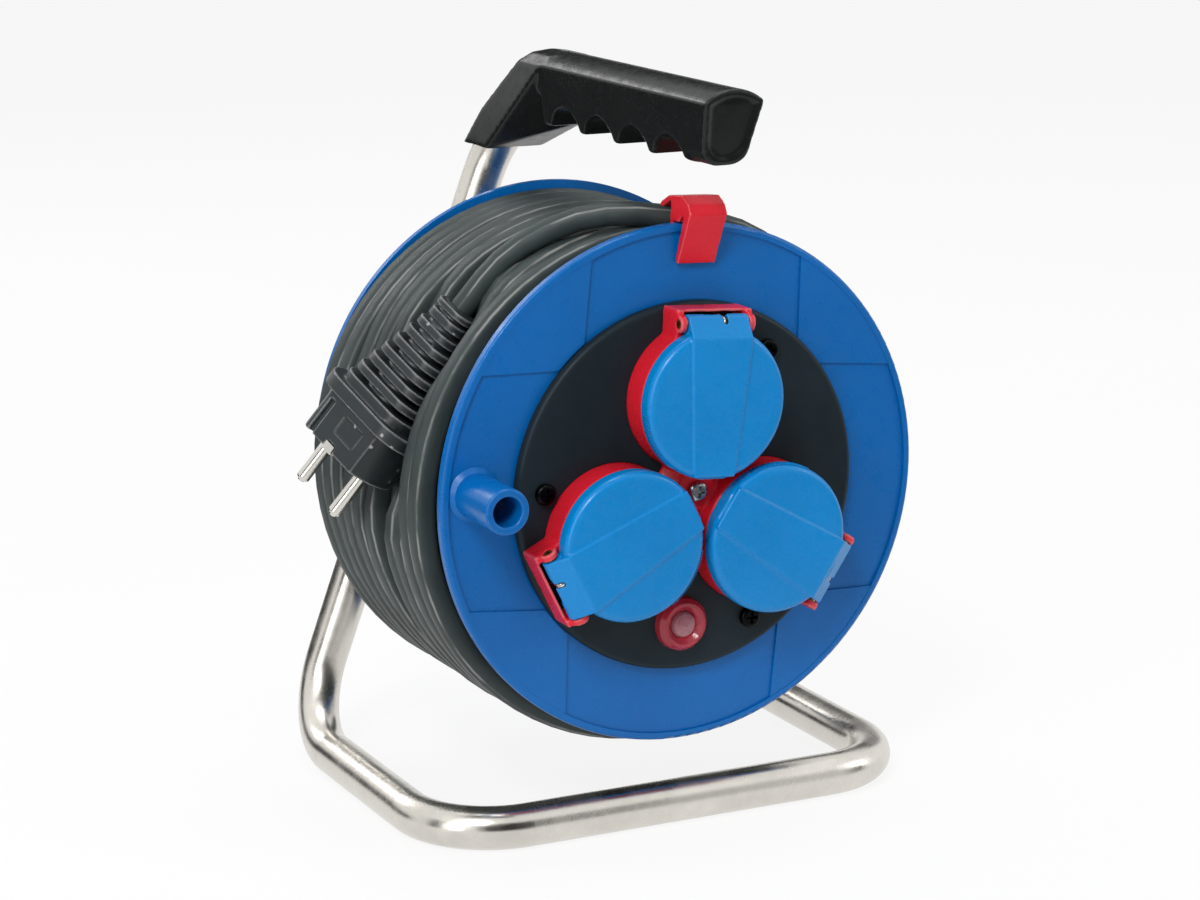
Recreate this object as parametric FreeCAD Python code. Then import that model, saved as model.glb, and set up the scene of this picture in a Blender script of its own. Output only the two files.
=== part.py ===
"""Extension cord reel: bent tube frame, turning drum with three lidded sockets, cable and plug.

Millimetres. X runs to the right, Y from the front to the back and Z up. The drum's axis is parallel
to Y at x = 0, the reel stands on z = 0, and y = 0 is the middle of its depth. Pieces are drawn about
the drum's axis, with y = 0 in the plane of the front flange's rim, and are placed at the end.
Angles on the drum are counted from +X towards +Z, as seen from the front.
"""
import FreeCAD, Part
import math
import os

V = FreeCAD.Vector
ORIGIN = V(0, 0, 0)
AXIS = V(0, 1, 0)

# Fits
fit_gap = 0.05
seat_gap = 0.1
running_gap = 0.3

# Drum
flange_radius = 90.0
flange_plate = 2.5
flange_recess = 1.0
flange_step = 0.8
rim_width = 3.4
rim_height = 2.6
rim_round = 1.2
drum_width = 111.0
barrel_radius = 60.0
barrel_wall = 2.3
drum_turn = 3.7
pad_half_width = 41.5
pad_taper = 5.0
opening_radius = 55.4
rear_screw_radius = 51.5
rear_screw_angles = (30.0, 150.0, 210.0, 330.0)
boss_radius = 3.9
spigot_depth = 6.0
spigot_wall = 2.2

# Axle
axle_diameter = 10.0
bush_outer = 14.0
bush_length = 14.0
bush_flange = 1.5
hub_radius = 13.0
hub_front = 62.0
hub_length = 57.0
washer_radius = 10.0
washer_thickness = 1.2
nut_across_flats = 16.0
nut_height = 8.0
bolt_head_height = 6.4
saddle_web = 1.2
saddle_depth = 3.0

# Frame
tube_diameter = 15.0
tube_wall = 1.5
base_half_width = 89.5
base_height = 112.5
base_front = 1.0
frame_back = 131.0
base_bend = 30.0
lean = 0.3705

# Grip
grip_front = -34.0
grip_front_foot = -26.0
grip_roof = 2.0
grip_depth = 25.8
grip_half_width = 11.0
grip_foot_half_width = 8.0
grip_crown = 4.3
grip_shoulder = 93.0
grip_tube_front = 12.0
grip_tube_height = 128.8
hollow_rise = 7.5
hollow_radius = 12.0
hollow_pitch = 26.0
hollow_first = -3.0
hollow_count = 4
neck_drop = 11.5
neck_wall = 1.9
neck_front = 119.0
neck_bend = 30.0
neck_bend_drop = 27.5
neck_bend_front = 101.3
grip_screw_length = 12.0
grip_screw_rise = 5.0
grip_screw_depth = 3.4

# Screws
shank_radius = 1.6
screw_head_radius = 3.7
screw_head_height = 2.4
plate_screw_length = 14.0
rear_screw_length = 18.0
centre_screw_length = 22.0
centre_head_radius = 3.5

# Face plate
plate_radius = 64.0
plate_thickness = 2.2
plate_front = -3.2
plate_bevel = 2.0
gasket_thickness = 0.9
gasket_width = 3.0
plate_screw_radius = 54.0
plate_screw_angles = (60.0, 180.0, 300.0)

# Sockets
socket_circle = 31.65
socket_angles = (90.0, 210.0, 330.0)
collar_radius = 25.5
collar_top = -13.8
spigot_radius = 23.5
spigot_top = -16.9
cavity_radius = 19.8
cavity_depth = 17.5
cup_floor = 2.6
cup_wall = 2.0
pin_spacing = 19.0
pin_hole_radius = 2.75
base_disc_radius = 55.0
base_disc_thickness = 1.2
web_front = -9.0
web_radius = 13.0
carrier_radius = 49.7
contact_length = 17.0
bus_thickness = 0.8
sleeve_radius = 3.4
ring_width = 3.8
line_ring_radius = 25.0
neutral_ring_radius = 40.5
earth_bow_width = 4.4
earth_strip = 0.7
earth_inset = 0.3
earth_reach = 2.6

# Lids
lid_radius = 25.9
lid_face = -20.3
lid_wall = 1.8
lid_round = 2.6
skirt_inner = 24.0
hinge_radius = 58.2
hinge_height = -14.5
hinge_barrel_radius = 3.2
ear_radius = 3.0
hinge_pin_radius = 1.5
hinge_pin_bore = 0.7
barrel_width = 22.6
ear_gap = 0.3
ear_width = 2.6
hinge_back = 61.75
hinge_web = 1.1
hinge_web_top = -12.6
strip_height = 0.8
strip_tip_half_width = 7.5
spring_gap = 9.0
spring_wire = 0.45
spring_coils = 7
lip_half_width = 5.0

# Reset button
button_circle = 47.4
guard_radius = 9.5
guard_height = 4.2
button_radius = 4.6
button_stand = 4.9
button_travel = 2.5
neck_radius = 6.0
neck_stand = 1.6
well_depth = 12.0
button_shoulder = 6.0
cutout_radius = 8.0
cutout_length = 27.0

# Winding knob
knob_circle = 77.8
knob_angle = 180.0
knob_radius = 7.8
knob_bore = 5.0
knob_front = -25.6
knob_neck = 6.6
knob_flare = 1.6
knob_round = 1.0

# Cable clip
clip_angle = 91.1
clip_width = 14.2
clip_wall = 1.8
clip_back = 15.6
clip_foot = 85.0

# Cable
cable_diameter = 8.4
winding_radius = 91.0
winding_sag = V(-2.2, 0, -3.3)
winding_front = 5.8
winding_groove = 52.0
tail_points = [V(-49.1, 35.5, 79.1), V(-24.0, 22.0, 93.0), V(4.6, 9.7, 90.0), V(30.0, 10.2, 83.5),
               V(50.0, 10.2, 67.5)]
entry_angle = 235.0
entry_y = 44.0
clamp_radius = 46.0
inner_bend = 10.0
clamp_length = 8.0
clamp_half_width = 13.0
clamp_screw_spacing = 18.0
clamp_screw_length = 19.0

# Plug
plug_collar_centre = V(-87.2, 56.8, 22.1)
plug_axis = V(-0.531, 0.297, -0.794)
plug_pin_line = V(0.269, -0.829, -0.490)
plug_half_width = 18.4
plug_half_depth = 13.0
plug_face = 18.6
plug_rim = 1.8
plug_recess = 3.0
plug_pin_length = 19.0
plug_pin_radius = 2.4
plug_pin_root_radius = 2.1
plug_pin_root = 10.0
plug_insert_thickness = 1.2
collar_half_width = 22.0
collar_half_depth = 14.8
collar_thickness = 5.0
relief_length = 45.8
relief_ribs = 8
relief_core = 10.0
relief_wide = 17.6
relief_deep = 12.0
relief_end_wide = 8.0
relief_end_deep = 7.0
relief_gap = 1.1
cable_seat = 6.0
earth_width = 4.4
earth_wrap = 2.6

# Places and sizes that follow from the ones above
axle_radius = axle_diameter / 2
tube_radius = tube_diameter / 2
axle_height = base_height + tube_radius
base_level = -base_height
flange_front = flange_recess
flange_back = flange_front + flange_plate
rear_flange_back = drum_width - flange_recess
rear_flange_front = rear_flange_back - flange_plate
barrel_inner = barrel_radius - barrel_wall
hub_back = hub_front + hub_length
thread_hole = shank_radius + fit_gap
screw_hole = shank_radius + 0.1
saddle_front = frame_back - tube_radius - saddle_web
saddle_back = frame_back + tube_radius + saddle_web
front_plane = -(grip_front + saddle_back + bolt_head_height) / 2
plate_back = plate_front + plate_thickness
gasket_back = flange_front
gasket_front = gasket_back - gasket_thickness
base_disc_front = plate_back + seat_gap
base_disc_back = base_disc_front + base_disc_thickness
cavity_floor = spigot_top + cavity_depth
cup_back = cavity_floor + cup_floor
carrier_front = cup_back + seat_gap
carrier_back = carrier_front + contact_length
bus_front = carrier_back + seat_gap
bus_back = bus_front + bus_thickness
earth_bridge = bus_back + 1.4
earth_bar_front = earth_bridge + 0.9
clamp_y = earth_bar_front + 6.0
grip_top = grip_tube_height + tube_radius + grip_roof
grip_underside = grip_top - grip_depth
hollow_top = grip_underside + hollow_rise
neck_foot = grip_underside - neck_drop
neck_bend_height = grip_tube_height - neck_bend_drop
lid_under = lid_face + lid_wall
lid_skirt_back = collar_top - running_gap
ear_inner = barrel_width / 2 + ear_gap
ear_outer = ear_inner + ear_width
grommet_radius = cable_diameter / 2 + 1.6
grip_screw_seat = frame_back + tube_radius - grip_screw_depth
strut_way = V(-base_half_width, 0, base_height).normalize()
upright_way = V(lean, 0, 1).normalize()
grip_screw_height = neck_foot + grip_screw_rise
grip_screw_place = V(-base_half_width + lean * (grip_screw_height - base_level), 0, grip_screw_height)


def polar(radius, angle, y=0.0):
    """A point on the drum at a radius and an angle seen from the front."""
    turn = math.radians(angle)
    return V(radius * math.cos(turn), y, radius * math.sin(turn))


def rod(radius, y0, y1, centre=ORIGIN):
    """A cylinder parallel to the drum's axis."""
    return Part.makeCylinder(radius, y1 - y0, V(centre.x, y0, centre.z), AXIS)


def pipe(outer, inner, y0, y1, centre=ORIGIN):
    """A tube parallel to the drum's axis."""
    return rod(outer, y0, y1, centre).cut(rod(inner, y0, y1, centre))


def block(x0, x1, y0, y1, z0, z1):
    return Part.makeBox(x1 - x0, y1 - y0, z1 - z0, V(x0, y0, z0))


def turned_profile(points):
    """A solid of revolution about the drum's axis from (radius, y) corners."""
    corners = [V(r, y, 0) for r, y in points]
    face = Part.Face(Part.makePolygon(corners + corners[:1]))
    return face.revolve(ORIGIN, AXIS, 360)


def extruded(points, direction):
    face = Part.Face(Part.makePolygon(points + points[:1]))
    return face.extrude(direction)


def spun(shape, angle):
    """A copy turned about the drum's axis, counter-clockwise seen from the front."""
    copy = shape.copy()
    copy.rotate(ORIGIN, AXIS, -angle)
    return copy


def at_socket(shape, angle):
    """A copy of a piece that is drawn for the top socket, at another socket."""
    return spun(shape, angle - 90.0)


def joined(shapes):
    first = shapes[0]
    return first.multiFuse(shapes[1:]).removeSplitter() if len(shapes) > 1 else first


def group(shapes):
    return Part.makeCompound(shapes)


def rounded(shape, radius, chosen):
    """Rounds the edges that the test picks, as far as their walls allow."""
    edges = [e for e in shape.Edges if chosen(e)]
    return shape.makeFillet(radius, edges) if edges else shape


def on_ring(edge, radius, y):
    """True for a circle of that radius about the drum's axis, in the plane at y."""
    circle = edge.Curve
    return (circle.TypeId == "Part::GeomCircle" and abs(circle.Radius - radius) < 0.01
            and abs(circle.Center.y - y) < 0.01 and math.hypot(circle.Center.x, circle.Center.z) < 0.01)


def bent_path(points, radii):
    """A wire of straight runs joined by tangent arcs."""
    edges = []
    start = points[0]
    for i in range(1, len(points) - 1):
        here = points[i]
        back = (points[i - 1] - here).normalize()
        ahead = (points[i + 1] - here).normalize()
        half_turn = (math.pi - back.getAngle(ahead)) / 2
        reach = radii[i - 1] * math.tan(half_turn)
        enter = here + back * reach
        leave = here + ahead * reach
        inward = (back + ahead).normalize()
        middle = here + inward * (radii[i - 1] / math.cos(half_turn) - radii[i - 1])
        edges.append(Part.LineSegment(start, enter).toShape())
        edges.append(Part.Arc(enter, middle, leave).toShape())
        start = leave
    edges.append(Part.LineSegment(start, points[-1]).toShape())
    return Part.Wire(edges)


def swept(path, radius):
    """A round bar along a path."""
    edge = path.Edges[0]
    start = edge.valueAt(edge.FirstParameter)
    heading = edge.tangentAt(edge.FirstParameter)
    ring = Part.Wire(Part.Circle(start, heading, radius).toShape())
    return path.makePipeShell([ring], True, False)


def swept_tube(path, outer, inner):
    return swept(path, outer).cut(swept(path, inner))


def cross_recess(centre, depth, arm=4.0, width=1.0):
    """The cutter for a cross recess in a screw head that faces the front."""
    wide = block(-arm / 2, arm / 2, 0, depth, -width / 2, width / 2)
    tall = block(-width / 2, width / 2, 0, depth, -arm / 2, arm / 2)
    cutter = wide.fuse(tall)
    cutter.translate(centre)
    return cutter


def pan_screw(centre, seat, length, head_radius=screw_head_radius, head=screw_head_height,
              shank=1.6):
    """A cross-recess pan-head screw whose head lies in front of its seat."""
    top = seat - head
    head_solid = rod(head_radius, top, seat, centre)
    head_solid = rounded(head_solid, head * 0.55, lambda e: abs(e.CenterOfMass.y - top) < 0.01)
    cutter = cross_recess(V(centre.x, top - 0.01, centre.z), head * 0.6, head_radius * 1.15)
    return head_solid.fuse(rod(shank, seat, seat + length, centre)).cut(cutter)


# Drum shells

def sector_steps(y_low, y_high):
    """The four raised diagonal fields between the flat pads of a flange."""
    inner = plate_radius + 0.3
    outer = flange_radius - rim_height + 0.2
    ring = pipe(outer, inner, y_low, y_high)
    half_near = pad_half_width
    half_far = pad_half_width - (outer - inner) * math.tan(math.radians(pad_taper))
    near = inner * 0.5
    far = outer + 2
    reach = 1.0
    pads = []
    for k in range(4):
        pad = extruded([V(-half_near, y_low - reach, near), V(half_near, y_low - reach, near),
                        V(half_far, y_low - reach, far), V(-half_far, y_low - reach, far)],
                       V(0, y_high - y_low + 2 * reach, 0))
        pads.append(spun(pad, 90.0 * k))
    return ring.cut(pads[0].multiFuse(pads[1:]))


def rim_band(y_outer, y_inner):
    """The rolled rim: y_outer is its outside plane."""
    r = flange_radius
    way = 1 if y_inner > y_outer else -1
    outside = V(r, y_outer, 0)
    c = rim_round
    middle = outside + V(-c, way * c, 0) + V(1, -way, 0).normalize() * c
    low = V(r - rim_height, y_outer, 0)
    back = V(r - rim_height, y_inner, 0)
    arc = Part.Arc(outside + V(-c, 0, 0), middle, outside + V(0, way * c, 0)).toShape()
    edges = [Part.makeLine(low, outside + V(-c, 0, 0)), arc,
             Part.makeLine(outside + V(0, way * c, 0), V(r, y_inner, 0)),
             Part.makeLine(V(r, y_inner, 0), back), Part.makeLine(back, low)]
    return Part.Face(Part.Wire(edges)).revolve(ORIGIN, AXIS, 360)


def drum_front():
    """The front flange with the barrel that the cable is wound on."""
    disc = pipe(flange_radius - rim_height + 0.2, opening_radius, flange_front, flange_back)
    rim = rim_band(0.0, rim_width)
    steps = sector_steps(flange_front - flange_step, flange_front)
    barrel = pipe(barrel_radius, barrel_inner, flange_back - 0.5, rear_flange_front - seat_gap)
    bosses = []
    for angle in plate_screw_angles:
        centre = polar(plate_screw_radius, angle)
        bosses.append(rod(boss_radius, base_disc_back, flange_back + plate_screw_length, centre))
    post_front = rear_flange_front - rear_screw_length - 2
    post_back = rear_flange_front - spigot_depth - running_gap
    for angle in rear_screw_angles:
        centre = polar(rear_screw_radius, angle)
        rib = block(rear_screw_radius, barrel_inner + 0.5, post_front, post_back, -0.9, 0.9)
        bosses += [rod(boss_radius, post_front, post_back, centre), spun(rib, angle)]
    shell = joined([disc, rim, barrel] + steps.Solids).multiFuse(bosses)
    holes = [rod(thread_hole, base_disc_back - 1, flange_back + plate_screw_length - 1,
                 polar(plate_screw_radius, a)) for a in plate_screw_angles]
    holes += [rod(thread_hole, post_front + 1, rear_flange_front, polar(rear_screw_radius, a))
              for a in rear_screw_angles]
    holes.append(rod(knob_neck + running_gap, -2.0, flange_back + 1, polar(knob_circle, knob_angle)))
    entry = Part.makeCylinder(grommet_radius, barrel_wall + 8, V(0, entry_y, barrel_inner - 4),
                              V(0, 0, 1))
    holes.append(spun(entry, entry_angle - 90.0))
    return shell.cut(holes[0].multiFuse(holes[1:]))


def drum_rear():
    """The rear flange with its hub, the ribs beside it and the ring that centres the barrel."""
    disc = rod(flange_radius - rim_height + 0.2, rear_flange_front, rear_flange_back)
    rim = rim_band(drum_width, drum_width - rim_width)
    steps = sector_steps(rear_flange_back, rear_flange_back + flange_step)
    hub = rod(hub_radius, hub_front, hub_back)
    spigot = pipe(barrel_inner - seat_gap, barrel_inner - spigot_wall, rear_flange_front - spigot_depth,
                  rear_flange_front + 0.5)
    ribs = []
    for k in range(8):
        outside = extruded([V(-1, rear_flange_back - 0.5, hub_radius - 1),
                            V(-1, hub_back - 1.5, hub_radius - 1),
                            V(-1, hub_back - 1.5, hub_radius + 1),
                            V(-1, rear_flange_back - 0.5, plate_radius - 14)], V(2, 0, 0))
        inside = extruded([V(-1, rear_flange_front + 0.5, hub_radius - 1),
                           V(-1, hub_front + 18, hub_radius - 1),
                           V(-1, rear_flange_front + 0.5, 34.0)], V(2, 0, 0))
        ribs += [spun(outside, 45.0 * k), spun(inside, 45.0 * k)]
    shell = joined([disc, rim, hub, spigot] + steps.Solids + ribs)
    bore = rod(axle_radius + 0.6, hub_front - 1, hub_back + 1)
    seats = [rod(bush_outer / 2, hub_front - 1, hub_front + bush_length - bush_flange),
             rod(bush_outer / 2, hub_back - bush_length + bush_flange, hub_back + 1)]
    holes = [rod(screw_hole, rear_flange_front - spigot_depth - 1, rear_flange_back + 2,
                 polar(rear_screw_radius, a)) for a in rear_screw_angles]
    return shell.cut(bore.multiFuse(seats + holes))


def rear_screws():
    screws = []
    for angle in rear_screw_angles:
        screw = pan_screw(ORIGIN, 0.0, rear_screw_length)
        screw.rotate(ORIGIN, V(0, 0, 1), 180)
        screw.translate(polar(rear_screw_radius, angle, rear_flange_back))
        screws.append(screw)
    return group(screws)


def hub_bushes():
    """The two flanged bushes pressed into the ends of the hub."""
    bore = axle_radius + fit_gap
    front = turned_profile([(bore, hub_front - bush_flange), (hub_radius - 2, hub_front - bush_flange),
                            (hub_radius - 2, hub_front), (bush_outer / 2, hub_front),
                            (bush_outer / 2, hub_front + bush_length - bush_flange),
                            (bore, hub_front + bush_length - bush_flange)])
    back = front.mirror(V(0, (hub_front + hub_back) / 2, 0), AXIS)
    return group([front, back])


# Face plate and sockets

def clover(clearance, y0, y1):
    """The opening that the three collars and the web between them pass through."""
    lobes = [rod(collar_radius + clearance, y0, y1, polar(socket_circle, a)) for a in socket_angles]
    lobes.append(rod(web_radius + clearance, y0, y1))
    return lobes[0].multiFuse(lobes[1:])


def face_plate():
    """The dished black plate with its bevelled edge."""
    r = plate_radius
    plate = turned_profile([(0, plate_front), (r, plate_front), (r, gasket_front),
                            (r - gasket_width, gasket_front), (r - gasket_width, plate_back),
                            (0, plate_back)])
    plate = rounded(plate, plate_bevel, lambda e: on_ring(e, r, plate_front))
    plate = plate.cut(clover(0.2, plate_front - 1, plate_back + 1))
    holes = [rod(screw_hole, plate_front - 1, plate_back + 1, polar(plate_screw_radius, a))
             for a in plate_screw_angles]
    holes.append(rod(neck_radius + seat_gap, plate_front - 1, plate_back + 1,
                     polar(button_circle, 270.0)))
    return plate.cut(holes[0].multiFuse(holes[1:]))


def plate_gasket():
    return pipe(plate_radius - 0.3, plate_radius - gasket_width + 0.2, gasket_front, gasket_back)


def plate_screws():
    return group([pan_screw(polar(plate_screw_radius, a), plate_front, plate_screw_length)
                  for a in plate_screw_angles])


def hinge_ears():
    """The hinge seat of the top collar: two ears on the collar's side and the web behind them."""
    foot = plate_front - seat_gap
    inner_end = socket_circle + collar_radius * 0.8
    outer_end = hinge_back + hinge_web
    solids = []
    for side in (-1, 1):
        x = min(side * ear_inner, side * ear_outer)
        end = x + ear_width
        solids.append(block(x, end, collar_top, foot, inner_end, outer_end))
        solids.append(block(x, end, hinge_height, collar_top + 0.5, hinge_radius - ear_radius,
                            hinge_radius + ear_radius))
        solids.append(Part.makeCylinder(ear_radius, ear_width, V(x, hinge_height, hinge_radius),
                                        V(1, 0, 0)))
    solids.append(block(-ear_outer, ear_outer, hinge_web_top, foot, hinge_back, outer_end))
    return solids


def socket_block():
    """The red moulding: three open cups with their collars, hinge ears and the web between them."""
    solids = [rod(base_disc_radius, base_disc_front, base_disc_back)]
    solids.append(turned_profile([(0, web_front), (web_radius - 6, web_front), (web_radius, plate_front),
                                  (web_radius, base_disc_front + 0.5), (0, base_disc_front + 0.5)]))
    top = polar(socket_circle, 90.0)
    collar = rod(collar_radius, collar_top, base_disc_front + 0.5, top)
    spigot = rod(spigot_radius, spigot_top, collar_top + 1, top)
    cup = rod(cavity_radius + cup_wall, base_disc_front, cavity_floor - seat_gap, top)
    parts = [collar, spigot, cup] + hinge_ears()
    for angle in socket_angles:
        solids += [at_socket(p, angle) for p in parts]
    body = joined(solids)
    cavity = rod(cavity_radius, spigot_top - 1, cup_back + 1, top)
    floor_seat = rod(cavity_radius + cup_wall + seat_gap, cavity_floor - seat_gap, cup_back + 1, top)
    cuts = [cavity, floor_seat]
    cuts.append(Part.makeCylinder(hinge_pin_radius, 2 * ear_outer + 2,
                                  V(-ear_outer - 1, hinge_height, hinge_radius), V(1, 0, 0)))
    cuts.append(Part.makeCylinder(hinge_barrel_radius + 0.4, 2 * ear_inner,
                                  V(-ear_inner, hinge_height, hinge_radius), V(1, 0, 0)))
    cutters = []
    for angle in socket_angles:
        cutters += [at_socket(c, angle) for c in cuts]
    cutters += [rod(screw_hole, base_disc_front - 1, base_disc_back + 1,
                    polar(plate_screw_radius, a)) for a in plate_screw_angles]
    cutters.append(rod(screw_hole, web_front - 1, base_disc_back + 1))
    cutters.append(rod(cutout_radius + 0.2, base_disc_front - 1, base_disc_back + 1,
                       polar(button_circle, 270.0)))
    return body.cut(cutters[0].multiFuse(cutters[1:]))


def socket_floors():
    """The floor of each cup, with its pin holes and the slots for the earth bow."""
    top = polar(socket_circle, 90.0)
    floor = rod(cavity_radius + cup_wall, cavity_floor, cup_back, top)
    cuts = []
    for side in (-1, 1):
        cuts.append(rod(pin_hole_radius, cavity_floor - 1, cup_back + 1,
                        top + V(side * pin_spacing / 2, 0, 0)))
        cuts.append(earth_slot(side, cavity_floor - 1, cup_back + 1))
    floor = floor.cut(cuts[0].multiFuse(cuts[1:]))
    return group([at_socket(floor, angle) for angle in socket_angles])


def centre_screw():
    return pan_screw(ORIGIN, web_front, centre_screw_length, centre_head_radius)


def earth_slot(side, y0, y1):
    """The slot for one arm of the top socket's earth bow."""
    near = socket_circle + side * (cavity_radius - earth_reach - 0.2)
    far = socket_circle + side * (cavity_radius - earth_inset + 0.1)
    half = earth_bow_width / 2 + 0.2
    return block(-half, half, y0, y1, min(near, far), max(near, far))


def contact_places(side):
    return [at_socket(Part.Vertex(V(side * pin_spacing / 2, 0, socket_circle)), a).Point
            for a in socket_angles]


def contact_carrier():
    """The insulating block behind the cups, with a chamber for each contact."""
    body = rod(carrier_radius, carrier_front, carrier_back)
    cuts = []
    for side in (-1, 1):
        cuts += [rod(sleeve_radius + 0.3, carrier_front - 1, carrier_back + 1, place)
                 for place in contact_places(side)]
        slot = earth_slot(side, carrier_front - 1, carrier_back + 1)
        cuts += [at_socket(slot, a) for a in socket_angles]
    cuts.append(rod(thread_hole, carrier_front - 1, carrier_back + 1))
    cuts += [rod(thread_hole, carrier_front - 1, carrier_back + 1, place)
             for place in clamp_screw_places()]
    cuts.append(rod(cutout_radius + running_gap, carrier_front - 1, carrier_back + 1,
                    polar(button_circle, 270.0)))
    return body.cut(cuts[0].multiFuse(cuts[1:]))


def contact_set(side, inner, outer):
    """Three sleeves on one brass ring."""
    solids = [pipe(outer, inner, bus_front, bus_back)]
    for place in contact_places(side):
        radius = math.hypot(place.x, place.z)
        angle = math.degrees(math.atan2(place.z, place.x))
        near = min(radius, inner + 0.5)
        far = max(radius, outer - 0.5)
        tab = block(near, far, bus_front, bus_back, -2.5, 2.5)
        solids += [spun(tab, angle), rod(sleeve_radius, bus_front, bus_back, place),
                   rod(sleeve_radius, carrier_front + 0.4, bus_front, place)]
    body = joined(solids)
    bores = [rod(plug_pin_radius + fit_gap, carrier_front - 1, bus_front, place)
             for place in contact_places(side)]
    bores.append(rod(cutout_radius + running_gap, bus_front - 1, bus_back + 1,
                     polar(button_circle, 270.0)))
    return body.cut(bores[0].multiFuse(bores[1:]))


def line_contacts():
    return contact_set(1, line_ring_radius - ring_width / 2, line_ring_radius + ring_width / 2)


def neutral_contacts():
    return contact_set(-1, neutral_ring_radius - ring_width / 2, neutral_ring_radius + ring_width / 2)


def earth_bows():
    """A sprung earth clip for each socket, both arms bent in towards the plug."""
    outer = cavity_radius - earth_inset
    inner = outer - earth_strip
    bend = cavity_radius - earth_reach
    knee = cavity_floor - 4.0
    half = earth_bow_width / 2
    solids = []
    for side in (-1, 1):
        lines = [(inner, earth_bridge), (inner, knee), (bend, knee - 4), (inner, knee - 9),
                 (outer, knee - 9), (bend + earth_strip, knee - 4), (outer, knee), (outer, earth_bridge)]
        corners = [V(-half, y, socket_circle + side * r) for r, y in lines]
        solids.append(extruded(corners, V(2 * half, 0, 0)))
    solids.append(block(-half, half, earth_bridge - 0.1, earth_bridge + 0.8, socket_circle - outer,
                        socket_circle + outer))
    bow = joined(solids)
    return group([at_socket(bow, angle) for angle in socket_angles])


def earth_bar():
    """The brass ring that joins the three earth bows."""
    return pipe(socket_circle + 4.0, socket_circle - 4.0, earth_bar_front,
                earth_bar_front + bus_thickness)


# Lids

def lid():
    """A hinged lid drawn for the top socket: domed cap, tapering strip and hinge barrel."""
    centre = polar(socket_circle, 90.0)
    r = lid_radius
    cap = turned_profile([(0, lid_face), (r, lid_face), (r, lid_skirt_back),
                          (skirt_inner, lid_skirt_back), (skirt_inner, lid_under), (0, lid_under)])
    cap = rounded(cap, lid_round, lambda e: on_ring(e, r, lid_face))
    cap.translate(centre)
    top = lid_face - strip_height
    corner = hinge_radius - 4.0
    tip_y = hinge_height - hinge_barrel_radius * 0.75
    tip_z = hinge_radius + hinge_barrel_radius * 0.66
    arm = socket_circle + skirt_inner + 0.3
    far = socket_circle - lid_radius + 1.0
    side = [V(0, top, far + 0.8), V(0, top, corner), V(0, tip_y, tip_z),
            V(0, hinge_height, hinge_radius), V(0, hinge_height, arm), V(0, lid_under, arm),
            V(0, lid_under, far + 1.5), V(0, lid_face, far)]
    half = barrel_width / 2
    strip = extruded([p + V(-half, 0, 0) for p in side], V(barrel_width, 0, 0))
    tip = strip_tip_half_width
    plan = extruded([V(-half, top - 1, hinge_radius + 5), V(half, top - 1, hinge_radius + 5),
                     V(half, top - 1, corner), V(tip, top - 1, far - 2), V(-tip, top - 1, far - 2),
                     V(-half, top - 1, corner)], V(0, 12.0, 0))
    strip = strip.common(plan)
    barrel = Part.makeCylinder(hinge_barrel_radius, barrel_width,
                               V(-half, hinge_height, hinge_radius), V(1, 0, 0))
    lip = block(-lip_half_width, lip_half_width, lid_face + 1.0, lid_skirt_back,
                socket_circle - lid_radius - 0.9, socket_circle - lid_radius + 1.5)
    lip = lip.cut(rod(skirt_inner + 0.5, lid_face - 1, lid_skirt_back + 1, centre))
    body = joined([cap, strip, barrel, lip])
    bore = Part.makeCylinder(hinge_pin_radius + fit_gap, barrel_width + 2,
                             V(-half - 1, hinge_height, hinge_radius), V(1, 0, 0))
    room = Part.makeCylinder(hinge_barrel_radius + 0.2, spring_gap,
                             V(-spring_gap / 2, hinge_height, hinge_radius), V(1, 0, 0))
    return body.cut(bore).cut(room)


def lid_seal():
    """The soft ring in the lid that presses on the collar's rim."""
    return pipe(skirt_inner - 0.1, cavity_radius + 0.6, lid_under, spigot_top - running_gap,
                polar(socket_circle, 90.0))


def hinge_pins():
    length = 2 * ear_outer - 0.4
    start = V(-length / 2, hinge_height, hinge_radius)
    pin = Part.makeCylinder(hinge_pin_radius, length, start, V(1, 0, 0))
    pin = pin.cut(Part.makeCylinder(hinge_pin_bore, length, start, V(1, 0, 0)))
    return group([at_socket(pin, a) for a in socket_angles])


def lid_springs():
    """Torsion springs: close coils round the pin, with one leg on the collar's hinge seat."""
    wire = spring_wire
    ring_radius = hinge_pin_radius + wire + 0.15
    pitch = 2 * wire - 0.08
    solids = []
    for k in range(spring_coils):
        x = (k - (spring_coils - 1) / 2) * pitch
        solids.append(Part.makeTorus(ring_radius, wire, V(x, hinge_height, hinge_radius), V(1, 0, 0)))
    end = (spring_coils - 1) / 2 * pitch
    root = V(end, hinge_height, hinge_radius + ring_radius)
    rest = V(end, plate_front - 1.5, hinge_back - wire - 0.1)
    solids.append(Part.makeCylinder(wire, (rest - root).Length, root, rest - root))
    spring = joined(solids)
    return group([at_socket(spring, a) for a in socket_angles])


# Reset button

def button_guard():
    """The clear ring round the button, screwed on the cut-out's neck."""
    front = plate_front - guard_height
    inner = button_radius + running_gap
    ring = turned_profile([(inner, front + 1.6), (guard_radius * 0.7, front),
                           (guard_radius * 0.82, front), (guard_radius - 0.4, front + 1.6),
                           (guard_radius, plate_front), (neck_radius + fit_gap, plate_front),
                           (neck_radius + fit_gap, plate_front - neck_stand - 0.1),
                           (inner, plate_front - neck_stand - 0.1)])
    ring.translate(polar(button_circle, 270.0))
    return ring


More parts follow.
